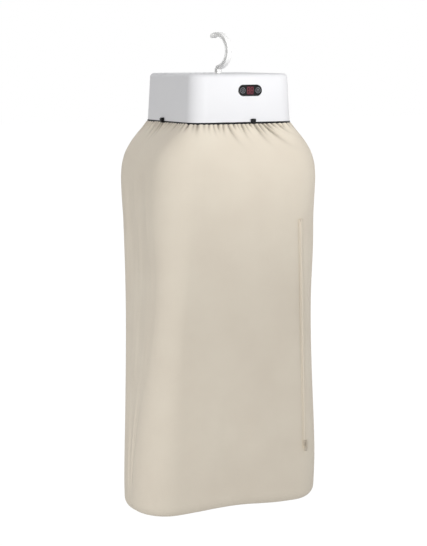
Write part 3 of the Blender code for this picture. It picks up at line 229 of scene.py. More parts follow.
def dress(node, name, material, body, edge=0.0003, steps=2, smooth=32, level=False):
    """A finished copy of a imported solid: its triangles merged, its edges eased and its curves smoothed."""
    piece = placed(name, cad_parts[node].data.copy())
    take(piece)
    bpy.ops.mesh.customdata_custom_splitnormals_clear()
    edit()
    bpy.ops.mesh.select_all(action="SELECT")
    bpy.ops.mesh.remove_doubles(threshold=MERGE)
    bpy.ops.mesh.dissolve_limited(angle_limit=FLAT_ANGLE)
    done()
    change(piece, "BEVEL", width=edge, segments=steps, limit_method="ANGLE", angle_limit=radians(smooth + 2))
    bpy.ops.object.shade_smooth_by_angle(angle=radians(smooth))
    if level:
        # A gloss face mirrors as a plane only where its corners take no slant from the eased edges.
        change(piece, "WEIGHTED_NORMAL", weight=100, keep_sharp=True)
    settle(piece, material, body, node)
    return piece


# Black ABS from a spark-eroded mould: the eye sees a near-black satin with a fine grain. The real grain is
# about 0.1 mm and is drawn at 0.6 mm so that it shows.
black_abs = moulded("abs_moulded_black", "#121214", "#17171A", 0.42, 0.0006, 0.00006, shine=0.15)

for node, name in (("base_plate", "base_plate_moulding"), ("outlet_grille", "outlet_guard")):
    dress(node, name, black_abs, "housing", edge=0.0005)


# The air path: a flared tube round the fan and a four-armed mount for the motor, both moulded in black
# glass-filled nylon and screwed to the base plate. Seen only through the slots and the outlet.

# Glass-filled nylon: a dull charcoal black, with a coarser grain than the ABS.
black_nylon = moulded("nylon_glass_filled_black", "#1B1B1C", "#222223", 0.55, 0.0009, 0.00008)

for node, name in (("air_duct", "fan_tube"), ("motor_mount", "motor_spider")):
    dress(node, name, black_nylon, "housing", edge=0.0004)


# The motor and its fan: a pressed steel can with a ground steel shaft, and a seven-bladed fan moulded in
# dark grey nylon that is pushed on to the shaft.

SCRATCH_DEPTH = 0.00004


def metal(name, colour, roughness, stretch, scratch):
    """A metal surface: fine lines along one direction change its gloss and relief a little."""
    material, tree = fresh(name)
    place = add(tree, "TexCoord", {}).outputs["Object"]
    along = add(tree, "Mapping", {"Vector": place, "Scale": stretch})
    lines = add(tree, "TexNoise", {"Vector": along, "Scale": 1 / scratch, "Detail": 3.0})
    gloss = add(tree, "MapRange", {
        "Value": lines, "From Min": 0.3, "From Max": 0.7,
        "To Min": roughness - 0.08, "To Max": roughness + 0.10,
    })
    relief = add(tree, "Bump", {"Height": lines, "Strength": 0.35, "Distance": SCRATCH_DEPTH})
    surface(tree, {"Base Color": linear(colour), "Metallic": 1.0, "Roughness": gloss, "Normal": relief})
    return material


# Zinc-plated steel sheet: a slightly blue grey with soft drawn lines round the can.
plated_steel = metal("steel_zinc_plated", "#A9ACB0", 0.38, (1, 1, 6), 0.0012)
# Ground steel: brighter, with fine turned lines across its length.
ground_steel = metal("steel_ground", "#C4C6C8", 0.24, (1, 1, 12), 0.0008)
# Dark grey nylon: smooth from a polished mould, with a soft gloss along the blades.
fan_nylon = moulded("nylon_moulded_grey", "#2A2B2D", "#303134", 0.40, 0.0008, 0.00005)

for node, name, material, body, finish in (
    ("motor_case", "motor_can", plated_steel, "housing", "zinc_steel"),
    ("motor_shaft", "motor_spindle", ground_steel, "rotor", "steel"),
    ("fan_impeller", "fan_moulding", fan_nylon, "rotor", "black_abs"),
):
    dress(node, name, material, body, edge=0.0003)


# The heater: strips of folded aluminium between resistance bars, held in a frame of mica board, with a
# round snap-action cut-out riveted to the frame.

MICA_FLAKE = 0.0025

# Mica board: pressed flakes 1 to 4 mm across, each lying at its own tone, under a waxy sheen.
mica, mica_tree = fresh("mica_board_pressed")
mica_place = add(mica_tree, "TexCoord", {}).outputs["Object"]
flakes = add(mica_tree, "TexVoronoi", {"Vector": mica_place, "Scale": 1 / MICA_FLAKE})
mica_tone = add(mica_tree, "MixRGB", {
    "Fac": flakes, "Color1": linear("#B9A583"), "Color2": linear("#8F7A58"),
})
mica_relief = add(mica_tree, "Bump", {"Height": flakes, "Strength": 0.3, "Distance": 0.0001})
surface(mica_tree, {"Base Color": mica_tone, "Roughness": 0.62, "Normal": mica_relief})
# Rolled aluminium: light grey, soft sheen, lines along the strip.
rolled_aluminium = metal("aluminium_rolled", "#C9CBCD", 0.32, (0.2, 4, 4), 0.0010)

for node, name, material, finish in (
    ("heater_frame", "heater_mica_frame", mica, "mica_board"),
    ("heater_core", "heater_fins", rolled_aluminium, "aluminium"),
    ("thermal_cutout", "heat_cutout", black_nylon, "black_abs"),
):
    dress(node, name, material, "housing", edge=0.0002)


# The electronics: two glass-fibre boards with green solder resist, on the base plate's standoffs and in a
# black tray behind the panel, with a relay, a film capacitor, two tact switches and the display block.

TRACK_LENGTH = 0.011
TRACK_PITCH = 0.0034
TRACK_HALF_WIDE = 0.0006

# Glass-fibre board: deep green solder resist, through which copper tracks show as lighter lines.
board, board_tree = fresh("glass_fibre_board_green")
board_place = add(board_tree, "TexCoord", {}).outputs["Object"]
tracks = add(board_tree, "TexBrick", {
    "Vector": board_place, "Scale": 1.0, "Brick Width": TRACK_LENGTH, "Row Height": TRACK_PITCH,
    "Mortar Size": TRACK_HALF_WIDE,
    "Color1": linear("#0F4A2A"), "Color2": linear("#125231"), "Mortar": linear("#2C7A4C"),
}, offset=0.37, squash=1.0)
surface(board_tree, {"Base Color": tracks, "Roughness": 0.35, "IOR": 1.5})
# The relay's and the capacitor's cases: smooth blue polyester with a low gloss.
part_blue = moulded("polyester_film_case_blue", "#24406B", "#2A4876", 0.40, 0.0007, 0.00004)

for node, name, material, finish in (
    ("board_tray", "panel_tray", black_abs, "black_abs"),
    ("control_board", "panel_board", board, "circuit_board"),
    ("display_module", "display_block", black_abs, "black_abs"),
    ("power_switch", "power_tact", black_abs, "black_abs"),
    ("timer_switch", "timer_tact", black_abs, "black_abs"),
    ("power_board", "mains_board", board, "circuit_board"),
    ("heater_relay", "relay_case", part_blue, "board_parts"),
    ("filter_capacitor", "capacitor_case", part_blue, "board_parts"),
):
    dress(node, name, material, "housing", edge=0.0003)


# The casing: a white ABS shell, injection moulded in one piece with walls of 2.5 mm that lean in by the
# mould's draft, rounded corners and top edge, screw posts, a boss for the hook and slots for the air.

CASING_HALF = 0.1355
CASING_TOP = -0.087
CASING_FOOT = -0.198
CASING_CORNER = 0.038
CASING_TOP_ROUND = 0.009
CASING_WALL = 0.0025
CASING_DRAFT = 0.0045
SLOT_COUNT = 24
SLOT_WIDTH = 0.0042
SLOT_INNER = 0.036
SLOT_LENGTH = 0.034
SLOT_CHAMFER = 0.0006
SLOT_END_SHARE = 0.48
BOSS_RADIUS = 0.0121
BOSS_DEPTH = 0.010
BORE_RADIUS = 0.0091
BORE_DEPTH = 0.020
BORE_MIDDLE = CASING_TOP - 0.0055
POST_REACH = 0.108
POST_RADIUS = 0.0045
PILOT_RADIUS = 0.0020
PILOT_TOP = -0.182
POST_CORNERS = [(x * POST_REACH, y * POST_REACH) for x, y in ((-1, -1), (1, -1), (1, 1), (-1, 1))]
PANEL_PLACE = Vector((0.015, -0.132279, -0.125))
PANEL_OUT = Vector((0, -0.999028, 0.044075))
PANEL_HALF_WIDE = 0.031
PANEL_HALF_TALL = 0.013
PANEL_ROOM = 0.0003
PILL_END_SHARE = 0.985
INLET_PLACE = Vector((0, 0.133338, -0.149))
INLET_OUT = Vector((0, 0.999028, 0.044075))
INLET_WIDE = 0.0281
INLET_TALL = 0.0221
WALL_CUT_DEPTH = 0.009
CUT_PAST = 0.002
ON_PLANE = 0.0001


def choose(kind, test):
    """In edit mode, selects only the faces or edges whose middle and direction pass the test."""
    bpy.ops.mesh.select_mode(type=kind)
    bpy.ops.mesh.select_all(action="DESELECT")
    mesh = bpy.context.object.data
    shape = bmesh.from_edit_mesh(mesh)
    if kind == "FACE":
        for face in shape.faces:
            face.select_set(bool(test(face.calc_center_median(), face.normal)))
    else:
        for edge in shape.edges:
            ends = [vertex.co for vertex in edge.verts]
            edge.select_set(bool(test((ends[0] + ends[1]) / 2, (ends[1] - ends[0]).normalized())))
    shape.select_flush_mode()
    bmesh.update_edit_mesh(mesh)


def ease_chosen(reach, steps):
    """Bevels the chosen edges."""
    bpy.ops.mesh.bevel(offset=reach, offset_type="OFFSET", segments=steps, profile=0.5, affect="EDGES")


def ease_upright(reach, steps):
    """In edit mode, bevels the edges that stand along Z."""
    choose("EDGE", lambda middle, along: abs(along.z) > 0.9)
    ease_chosen(reach, steps)


def start(name):
    """Names the primitive that was just added and puts its place into its mesh."""
    piece = bpy.context.object
    piece.name = name
    piece.data.name = name
    bpy.ops.object.transform_apply(location=True, rotation=True, scale=True)
    return piece


def block(name, size, place=(0, 0, 0)):
    """A box, to be shaped further or to cut with."""
    clear()
    bpy.ops.mesh.primitive_cube_add(size=1, location=place, scale=size)
    return start(name)


def rod(name, radius, depth, height=0, sides=48, aside=(0, 0)):
    """An upright cylinder, to be shaped further or to cut with."""
    clear()
    bpy.ops.mesh.primitive_cylinder_add(
        vertices=sides, radius=radius, depth=depth, location=(aside[0], aside[1], height))
    return start(name)


def wall_place(place, out):
    """A place on a leaning wall, with its own +Z out of the wall and +Y up it."""
    up = Vector((0, 0, 1))
    across = up.cross(out).normalized()
    return Matrix.Translation(place) @ Matrix((across, out.cross(across), out)).transposed().to_4x4()


def combine(piece, tool, operation):
    """Joins a tool to a piece or cuts it out, and takes the tool away."""
    take(piece)
    change(piece, "BOOLEAN", object=tool, operation=operation, solver="EXACT")
    bpy.data.objects.remove(tool)
    return piece


def joined(pieces, name):
    """Several objects as one, with one mesh."""
    clear()
    for piece in pieces:
        piece.select_set(True)
    bpy.context.view_layer.objects.active = pieces[0]
    bpy.ops.object.join()
    pieces[0].name = name
    pieces[0].data.name = name
    return pieces[0]


casing_tall = CASING_TOP - CASING_FOOT
casing = block(
    "casing_shell", (2 * CASING_HALF, 2 * CASING_HALF, casing_tall), (0, 0, (CASING_TOP + CASING_FOOT) / 2))
edit()
choose("FACE", lambda middle, normal: normal.z > 0.9)
draft = CASING_DRAFT * casing_tall / (casing_tall - CASING_TOP_ROUND)
shrink = (CASING_HALF - draft) / CASING_HALF
bpy.ops.transform.resize(value=(shrink, shrink, 1), center_override=(0, 0, CASING_TOP))
ease_upright(CASING_CORNER, 20)
choose("EDGE", lambda middle, along: middle.z > CASING_TOP - ON_PLANE)
ease_chosen(CASING_TOP_ROUND, 9)
choose("FACE", lambda middle, normal: normal.z < -0.9)
bpy.ops.mesh.delete(type="FACE")
done()
change(casing, "SOLIDIFY", thickness=CASING_WALL, offset=-1, use_even_offset=True)

# The posts for the screws and the hook's boss, all rooted in the middle of the top wall.
root = CASING_TOP - CASING_WALL / 2
boss_foot = CASING_TOP - CASING_WALL - BOSS_DEPTH
post_middle = (root + CASING_FOOT) / 2
posts = [rod("post", POST_RADIUS, root - CASING_FOOT, post_middle, 24, corner) for corner in POST_CORNERS]
posts.append(rod("boss", BOSS_RADIUS, root - boss_foot, (root + boss_foot) / 2))
combine(casing, joined(posts, "casing_posts"), "UNION")

# One tool for the slots, with rounded ends and a flare at its top that leaves a chamfer, and its copies.
slot_deep = CASING_WALL + 2 * CUT_PAST
slot_tool = block("slot", (SLOT_LENGTH, SLOT_WIDTH, slot_deep))
edit()
ease_upright(SLOT_WIDTH * SLOT_END_SHARE, 5)
choose("FACE", lambda middle, normal: normal.z > 0.9)
flare = SLOT_CHAMFER + CUT_PAST
bpy.ops.transform.resize(
    value=((SLOT_LENGTH + 2 * flare) / SLOT_LENGTH, (SLOT_WIDTH + 2 * flare) / SLOT_WIDTH, 1),
    center_override=(0, 0, slot_deep / 2))
done()
slot_out = Matrix.Translation((SLOT_INNER + SLOT_LENGTH / 2, 0, CASING_TOP - slot_deep / 2 + CUT_PAST))
cutters = []
for k in range(SLOT_COUNT):
    slot = placed("slot", slot_tool.data.copy())
    slot.data.transform(Matrix.Rotation(2 * pi * (k + 0.5) / SLOT_COUNT, 4, "Z") @ slot_out)
    cutters.append(slot)
bpy.data.objects.remove(slot_tool)
cutters.append(rod("bore", BORE_RADIUS, BORE_DEPTH, BORE_MIDDLE))
pilot_foot = CASING_FOOT - CUT_PAST
pilot_middle = (PILOT_TOP + pilot_foot) / 2
for corner in POST_CORNERS:
    cutters.append(rod("pilot", PILOT_RADIUS, PILOT_TOP - pilot_foot, pilot_middle, 20, corner))
combine(casing, joined(cutters, "casing_holes"), "DIFFERENCE")

# The openings for the panel, a pill, and for the inlet, a plain rectangle.
panel_place = wall_place(PANEL_PLACE, PANEL_OUT)
panel_tool = block(
    "panel_window",
    (2 * (PANEL_HALF_WIDE + PANEL_ROOM), 2 * (PANEL_HALF_TALL + PANEL_ROOM), WALL_CUT_DEPTH))
edit()
ease_upright((PANEL_HALF_TALL + PANEL_ROOM) * PILL_END_SHARE, 16)
done()
panel_tool.data.transform(panel_place)
combine(casing, panel_tool, "DIFFERENCE")
inlet_tool = block("inlet_window", (INLET_WIDE, INLET_TALL, WALL_CUT_DEPTH))
inlet_tool.data.transform(wall_place(INLET_PLACE, INLET_OUT))
combine(casing, inlet_tool, "DIFFERENCE")
take(casing)
bpy.ops.object.shade_smooth_by_angle(angle=radians(28))

# White ABS with a fine satin grain: nearly white with the faintest blue, and a broad soft highlight. The
# real grain is about 0.1 mm and is drawn at 0.7 mm so that it shows.
white_abs = moulded("abs_moulded_white", "#E6E6E9", "#EAEAEC", 0.46, 0.0007, 0.00003, shine=0.22)
settle(casing, white_abs, "housing", "casing")


# The control panel: a gloss black acrylic cover in the front wall, with a two-digit display behind it and
# a round key at each end. The keys are clear-coated black with pad-printed grey rings and marks.

DIGIT_TALL = 0.0135
DIGIT_WIDE = 0.0060
DIGIT_APART = 0.0094
SEGMENT_WIDE = 0.0014
SEGMENT_GAP = 0.0004
SEGMENT_POINT_SHARE = 0.46
SEGMENT_SLANT = radians(5)
WINDOW_WIDE = 0.0180
WINDOW_TALL = 0.0200
WINDOW_EDGE = 0.0012
PRINT_HEIGHT = 0.00012
PRINT_CUT = 4 * PRINT_HEIGHT
COVER_FACE = 0.0006
KEY_FACE = 0.0016
KEY_APART = 0.040
RING_OUTER = 0.0066
RING_INNER = 0.0057
FACE_OUTER = 0.0029
MARK_WIDE = 0.0007
POWER_GAP_WIDE = 0.0028
POWER_GAP_TALL = 0.003
STROKE_TALL = 0.0034
STROKE_MIDDLE = 0.0025
LONG_HAND = 0.0022
LONG_HAND_MIDDLE = 0.0008
SHORT_HAND = 0.0018
SHORT_HAND_MIDDLE = 0.0007


def gloss_black(name, colour, roughness):
    """Acrylic under a hard clear coat: a deep dark gloss that mirrors the room, with faint polish marks."""
    material, tree = fresh(name)
    place = add(tree, "TexCoord", {}).outputs["Object"]
    wipe = add(tree, "TexNoise", {"Vector": place, "Scale": 180.0, "Detail": 4.0})
    gloss = add(tree, "MapRange", {
        "Value": wipe, "From Min": 0.3, "From Max": 0.7,
        "To Min": roughness, "To Max": roughness + 0.05,
    })
    surface(tree, {"Base Color": linear(colour), "Roughness": gloss, "IOR": 1.49, "Specular IOR Level": 0.3})
    return material


cover_acrylic = gloss_black("acrylic_gloss_black", "#0C0C0E", 0.08)
# The keys' acrylic is the same black under a softer, satin coat.
key_acrylic = gloss_black("acrylic_satin_black", "#131316", 0.16)

dress(
    "panel_cover", "panel_lens", cover_acrylic, "housing",
    edge=0.00015, smooth=22, level=True)

# The display's lit segments: red light through dark acrylic, a little uneven from bar to bar.
lit_red, red_tree = fresh("display_segment_lit_red")
red_place = add(red_tree, "TexCoord", {}).outputs["Object"]
red_noise = add(red_tree, "TexNoise", {"Vector": red_place, "Scale": 300.0, "Detail": 1.0})
red_tone = add(red_tree, "MixRGB", {
    "Fac": red_noise, "Color1": linear("#C2123C"), "Color2": linear("#E02A50"),
})
surface(red_tree, {
    "Base Color": linear("#3A0612"), "Roughness": 0.3, "Emission Color": red_tone, "Emission Strength": 0.24,
})

# The window over the display: the cover's acrylic is tinted dark red there, and the lit display glows in it.
window_tint = gloss_black("acrylic_tinted_dark_red", "#2C0D17", 0.10)
surface(window_tint.node_tree, {"Emission Color": linear("#8A2A44"), "Emission Strength": 0.07})
window = block("display_window", (WINDOW_WIDE, WINDOW_TALL, PRINT_HEIGHT))
edit()
ease_upright(WINDOW_EDGE, 4)
done()
window.data.transform(panel_place @ Matrix.Translation((0, 0, COVER_FACE - PRINT_HEIGHT / 4)))
settle(window, window_tint, "housing")

segments = []
half_tall = DIGIT_TALL / 2
slant = Matrix.Identity(4)
slant[0][1] = sin(SEGMENT_SLANT)
for side in (-1, 1):
    digit_place = Matrix.Translation((side * DIGIT_APART / 2, 0, COVER_FACE + PRINT_HEIGHT / 2))
    for x, y, upright in (
        (0, half_tall, False), (0, 0, False), (0, -half_tall, False),
        (-DIGIT_WIDE / 2, half_tall / 2, True), (DIGIT_WIDE / 2, half_tall / 2, True),
        (-DIGIT_WIDE / 2, -half_tall / 2, True), (DIGIT_WIDE / 2, -half_tall / 2, True),
    ):
        long = (half_tall if upright else DIGIT_WIDE) - SEGMENT_GAP
        wide, tall = (SEGMENT_WIDE, long) if upright else (long, SEGMENT_WIDE)
        bar = block("segment", (wide, tall, PRINT_HEIGHT))
        edit()
        ease_upright(SEGMENT_WIDE * SEGMENT_POINT_SHARE, 1)
        done()
        bar.data.transform(panel_place @ digit_place @ slant @ Matrix.Translation((x, y, 0)))
        segments.append(bar)
digits = joined(segments, "display_digits")
settle(digits, lit_red, "housing")

# Pad-printed ink: a matt mid grey that lies on the key.
key_ink = moulded("pad_print_ink_grey", "#8C8D92", "#85868B", 0.55, 0.0005, 0.00001)


def printed_ring(name, outer, inner, sides):
    """A thin flat ring of ink."""
    ring = rod(name, outer, PRINT_HEIGHT, sides=sides)
    return combine(ring, rod(name + "_inside", inner, PRINT_CUT, sides=sides), "DIFFERENCE")


for key, side in (("power_key", -1), ("timer_key", 1)):
    dress(key, key + "_cap", key_acrylic, key, edge=0.00012, smooth=22, level=True)
    marks = [printed_ring("ring", RING_OUTER, RING_INNER, 64)]
    face = printed_ring("face", FACE_OUTER, FACE_OUTER - MARK_WIDE, 48)
    if key == "power_key":
        gap = block("gap", (POWER_GAP_WIDE, POWER_GAP_TALL, PRINT_CUT), (0, POWER_GAP_TALL, 0))
        combine(face, gap, "DIFFERENCE")
        marks.append(block("stroke", (MARK_WIDE, STROKE_TALL, PRINT_HEIGHT), (0, STROKE_MIDDLE, 0)))
    else:
        marks.append(block("long_hand", (MARK_WIDE, LONG_HAND, PRINT_HEIGHT), (0, LONG_HAND_MIDDLE, 0)))
        marks.append(block("short_hand", (SHORT_HAND, MARK_WIDE, PRINT_HEIGHT), (SHORT_HAND_MIDDLE, 0, 0)))
    marks.append(face)
    print_mark = joined(marks, key + "_mark")
    print_mark.data.transform(
        panel_place @ Matrix.Translation((side * KEY_APART / 2, 0, KEY_FACE + PRINT_HEIGHT / 2)))
    settle(print_mark, key_ink, key)


# The mains inlet in the rear wall: a black socket moulded in glass-filled nylon round three blades that
# are stamped from brass.

# Rolled brass: a warm yellow with fine lines along the blade.
brass = metal("brass_rolled", "#C9A860", 0.30, (1, 0.2, 1), 0.0008)

for node, name, material, finish in (
    ("inlet_socket", "inlet_moulding", black_nylon, "black_abs"),
    ("inlet_pin_live", "inlet_blade_live", brass, "brass"),
    ("inlet_pin_neutral", "inlet_blade_neutral", brass, "brass"),
    ("inlet_pin_earth", "inlet_blade_earth", brass, "brass"),
):
    dress(node, name, material, "housing", edge=0.0004)


# Four catches and four screws hold the casing to the base plate. The catches are black acetal clips that
# snap over the casing's lower edge, and the screws are zinc-plated pan heads driven from below.

# Acetal: black with a low, waxy gloss.
acetal = moulded("acetal_moulded_black", "#111113", "#151517", 0.34, 0.0006, 0.00003, shine=0.12)

for side in ("front", "right", "rear", "left"):
    dress("case_catch_" + side, "catch_" + side, acetal, "housing", edge=0.0007, steps=3)
for place in ("front_left", "front_right", "rear_right", "rear_left"):
    dress("base_screw_" + place, "screw_" + place, plated_steel, "housing", edge=0.0002)


# The hook: white glass-filled nylon, moulded as an I-section that is swept round a rail, with a round
# shank that turns in a natural nylon bush and is kept there by a spring steel clip in its groove.

HOOK_MIDDLE = 0.039
HOOK_CENTRE = -0.034
HOOK_BAR = 0.010
HOOK_WIDE = 0.013
HOOK_RIM = 0.0024
HOOK_WEB = 0.005
HOOK_BEND = 0.008
HOOK_TIP = radians(26)
HOOK_REST_TURN = radians(11.5)
HOOK_SOLID_TIP = radians(15)
HOOK_EASE = 0.0009
HOOK_ROOT = CASING_TOP + 0.0003
BEND_STEPS = 12
ROUND_STEPS = 72
TIP_STEPS = 12
TIP_MARGIN = radians(2)
SHARP_EDGE = radians(50)
SHANK_RADIUS = 0.006
SHANK_TOP = CASING_TOP + 0.0024
SHANK_FOOT = -0.1106
SHANK_EASE = 0.0008
GROOVE_TOP = -0.1018
GROOVE_FOOT = -0.1040
GROOVE_RADIUS = 0.0042

bend_height = HOOK_CENTRE - sqrt((HOOK_MIDDLE + HOOK_BEND) ** 2 - HOOK_BEND ** 2)
bend_turn = atan2(HOOK_CENTRE - bend_height, HOOK_BEND)
round_turn = atan2(bend_height - HOOK_CENTRE, -HOOK_BEND) + 3 * pi / 2 + HOOK_TIP
tip_turn = pi / 2 - HOOK_TIP
tip_forward = Vector((0, sin(tip_turn), -cos(tip_turn)))
tip_place = Vector((0, HOOK_MIDDLE * cos(tip_turn), HOOK_CENTRE + HOOK_MIDDLE * sin(tip_turn)))


def in_last_quarter(y, z):
    """Whether a place is on the part of the round that leads down to the tip."""
    return y > 0 and z > HOOK_CENTRE + HOOK_MIDDLE / 2


# The section: nine faces, without the two beside the web.
clear()
bpy.ops.mesh.primitive_grid_add(x_subdivisions=3, y_subdivisions=3, size=1, location=(0, 0, HOOK_ROOT))
hook = start("hook_moulding")
hook_shape = bmesh.new()
hook_shape.from_mesh(hook.data)
for vertex in hook_shape.verts:
    x, y = vertex.co.x, vertex.co.y
    vertex.co.x = (HOOK_WIDE if abs(x) > 0.4 else HOOK_WEB) / 2 * (1 if x > 0 else -1)
    vertex.co.y = (HOOK_BAR / 2 if abs(y) > 0.4 else HOOK_BAR / 2 - HOOK_RIM) * (1 if y > 0 else -1)
hook_shape.to_mesh(hook.data)
hook_shape.free()
edit()
choose("FACE", lambda middle, normal: (
    abs(middle.x) > HOOK_WEB / 2 and abs(middle.y) < HOOK_BAR / 2 - HOOK_RIM))
bpy.ops.mesh.delete(type="FACE")

# It runs up from the shank, round the bend and the rail, to a rounded tip.
bpy.ops.mesh.select_mode(type="FACE")
bpy.ops.mesh.select_all(action="SELECT")
bpy.ops.mesh.extrude_region_move(TRANSFORM_OT_translate={"value": (0, 0, bend_height - HOOK_ROOT)})
bpy.ops.mesh.spin(
    steps=BEND_STEPS, angle=bend_turn, center=(0, -HOOK_BEND, bend_height), axis=(-1, 0, 0))
bpy.ops.mesh.spin(
    steps=ROUND_STEPS, angle=round_turn, center=(0, 0, HOOK_CENTRE), axis=(1, 0, 0))
reach = 0.0
for k in range(1, TIP_STEPS):
    lift = sin(pi / 2 * k / TIP_STEPS) * HOOK_BAR * 0.5
    now, before = cos(pi / 2 * k / TIP_STEPS), cos(pi / 2 * (k - 1) / TIP_STEPS)
    bpy.ops.mesh.extrude_region_move(TRANSFORM_OT_translate={"value": tip_forward * (lift - reach)})
    reach = lift
    bpy.ops.transform.resize(value=(now / before,) * 3, center_override=tip_place + tip_forward * lift)
bpy.ops.mesh.select_all(action="SELECT")
bpy.ops.mesh.remove_doubles(threshold=MERGE)
bpy.ops.mesh.normals_make_consistent(inside=False)

# The hollows beside the web run out before the tip, which is solid and rounded.
hook_shape = bmesh.from_edit_mesh(hook.data)
for vertex in hook_shape.verts:
    x, y, z = vertex.co
    if in_last_quarter(y, z) and abs(x) < HOOK_WIDE / 2 - HOOK_EASE:
        share = (tip_turn + HOOK_SOLID_TIP - atan2(z - HOOK_CENTRE, y)) / HOOK_SOLID_TIP
        share = min(max(share, 0), 1)
        full = HOOK_WIDE / 2 * (1 if x > 0 else -1)
        vertex.co.x = x + (full - x) * share * share * (3 - 2 * share) * (abs(x) > HOOK_WEB / 8)
bmesh.update_edit_mesh(hook.data)
bpy.ops.mesh.select_mode(type="EDGE")
bpy.ops.mesh.select_all(action="DESELECT")
hook_shape = bmesh.from_edit_mesh(hook.data)
for edge in hook_shape.edges:
    x, y, z = (edge.verts[0].co + edge.verts[1].co) / 2
    in_tip = in_last_quarter(y, z) and atan2(z - HOOK_CENTRE, y) < tip_turn + TIP_MARGIN
    if len(edge.link_faces) == 2 and not in_tip and edge.calc_face_angle() > SHARP_EDGE:
        edge.select_set(True)
bmesh.update_edit_mesh(hook.data)
bpy.ops.mesh.bevel(offset=HOOK_EASE, offset_type="OFFSET", segments=3, affect="EDGES", clamp_overlap=True)
done()

# The shank: a rod with a groove for the clip and an eased foot.
shank = rod("hook_shank", SHANK_RADIUS, SHANK_TOP - SHANK_FOOT, (SHANK_TOP + SHANK_FOOT) / 2, 40)
edit()
for height in (GROOVE_TOP, GROOVE_FOOT):
    bpy.ops.mesh.select_all(action="SELECT")
    bpy.ops.mesh.bisect(plane_co=(0, 0, height), plane_no=(0, 0, 1))
choose("FACE", lambda middle, normal: GROOVE_FOOT < middle.z < GROOVE_TOP)
bpy.ops.mesh.extrude_region_shrink_fatten(
    TRANSFORM_OT_shrink_fatten={"value": GROOVE_RADIUS - SHANK_RADIUS, "use_even_offset": True})
choose("EDGE", lambda middle, along: abs(middle.z - SHANK_FOOT) < ON_PLANE)
ease_chosen(SHANK_EASE, 3)
done()
combine(hook, shank, "UNION")
hook.data.transform(Matrix.Rotation(HOOK_REST_TURN, 4, "Z"))
take(hook)
bpy.ops.object.shade_smooth_by_angle(angle=radians(30))

# White glass-filled nylon: a touch warmer than the casing, and satin. Its grain is drawn at 1 mm.
white_nylon = moulded("nylon_moulded_white", "#F1F1F0", "#F5F5F4", 0.42, 0.0010, 0.00002, shine=0.2)
settle(hook, white_nylon, "hook", "hook")

# Natural nylon: an undyed, slightly waxy ivory.
natural_nylon = moulded("nylon_natural", "#DAD8CF", "#E2E0D8", 0.48, 0.0010, 0.00004)
dress("hook_bush", "hook_bush_turning", natural_nylon, "housing", edge=0.0003, smooth=40)
dress("hook_clip", "hook_retaining_clip", ground_steel, "hook", edge=0.0002, smooth=40)


# The garment rail: a short length of bright steel tube in two plated brackets that are screwed under the
# base plate, with a black push-in cap at each end.

# Brushed steel tube: bright, with fine lines along the tube.
bright_steel = metal("steel_tube_brushed", "#CDCFD1", 0.22, (8, 0.3, 8), 0.0010)

for node, name, material, finish in (
    ("garment_rail", "rail_tube", bright_steel, "steel"),
    ("rail_bracket_front", "bracket_front", plated_steel, "zinc_steel"),
    ("rail_bracket_rear", "bracket_rear", plated_steel, "zinc_steel"),
    ("rail_cap_front", "cap_front", black_abs, "black_abs"),
    ("rail_cap_rear", "cap_rear", black_abs, "black_abs"),
):
    dress(node, name, material, "housing", edge=0.0004)


# The bag: thin plain-woven polyester, cut much wider than the head and gathered on to an elastic hem. It
# hangs from the collar, blown out softly by the air, slack at the waist and rounded at its foot.

BAG_TOP = -0.2031
BAG_LENGTH = 0.929
BAG_CORNER = 0.068
NECK_HALF = 0.1355
NECK_CORNER = 0.038
SHOULDER_HALF = (0.2135, 0.1565)
SHOULDER_CORNER = 0.082
SHOULDER_DROP = 0.134
WAIST_HALF = 0.206
WAIST_DROP = 0.360
FOOT_HALF = (0.2445, 0.096)
FOOT_ROUND = 0.030
ZIP_DROPS = (0.227, 0.793)
ZIP_TILT = radians(10)
LEFT_SWAY = 0.006
LEFT_SLACK = 0.017
SWAY_DROP = 0.30
SWAY_REACH = 0.45
SPREAD_DROPS = (0.0, 0.04, 0.10, 0.22, 0.38, 0.58, 0.80, 1.0)
SPREADS = (0.0, 0.09, 0.21, 0.43, 0.67, 0.88, 0.98, 1.0)
FIRST_SLOPE = 1.2
SIDE_STEPS = 128
CORNER_COLUMNS = 32
HEM_DROP = 0.030
HEM_ROWS = 26
SHOULDER_ROWS = 29
BODY_ROWS = 72
FOOT_STEPS = 10
FOOT_SHARES = (0.88, 0.74, 0.58, 0.40, 0.22, 0.06)
MIDDLE_ROW = 60
GATHER_SEED = 11
TUCK_DEPTH = 0.0095
TUCK_DEPTH_SHARES = (0.45, 1.0)
TUCK_LENGTHS = (0.009, 0.014, 0.020, 0.030)
TUCK_LENGTH_ODDS = (0.25, 0.37, 0.26, 0.12)
TUCK_LENGTH_SHARES = (0.8, 1.2)
TUCK_WIDTHS = (0.0020, 0.0033)
TUCK_WIDENING = 0.06
TUCK_LEANS = (0.05, 0.40)
TUCK_STEPS = (0.0085, 0.0150)
TUCK_POWER = 1.6
FRONT_START = 0.76
FRONT_SHARE = 0.24
FRONT_LEAN = 0.60
RISE_SHARE = 0.45
RISE_REACH = 0.012
PUFF = 0.0027
PUFF_REACH = 0.018
NECK_ROOM = 0.0009
FOLD_COUNT = 46
FOLD_WIDTHS = (0.007, 0.016)
FOLD_REACHES = (0.02, 0.06)
FOLD_HEIGHTS = (-0.0007, 0.0009)
FOLD_DROP = 0.02
DRIFT_DROP = 0.05
DRIFT_CALM = 0.7
DRIFT_CALM_DROP = 0.80
DRIFT_EASE = 0.12
SWELL = 0.0048
SWELL_COLUMN = 24
SWELL_DROP = 0.30
SWELL_TALL = 0.10
SWELL_BEHIND = 0.06
SWELL_BEFORE = 0.014
SAG = 0.003
SAG_DROP = 0.72
SAG_EASE = 0.18
SAG_REACH = 0.2315
SAG_HALF_WAVES = 1.5
THREAD = 0.0014
RIB = 0.0022
LINE_FACTOR = 3.1416

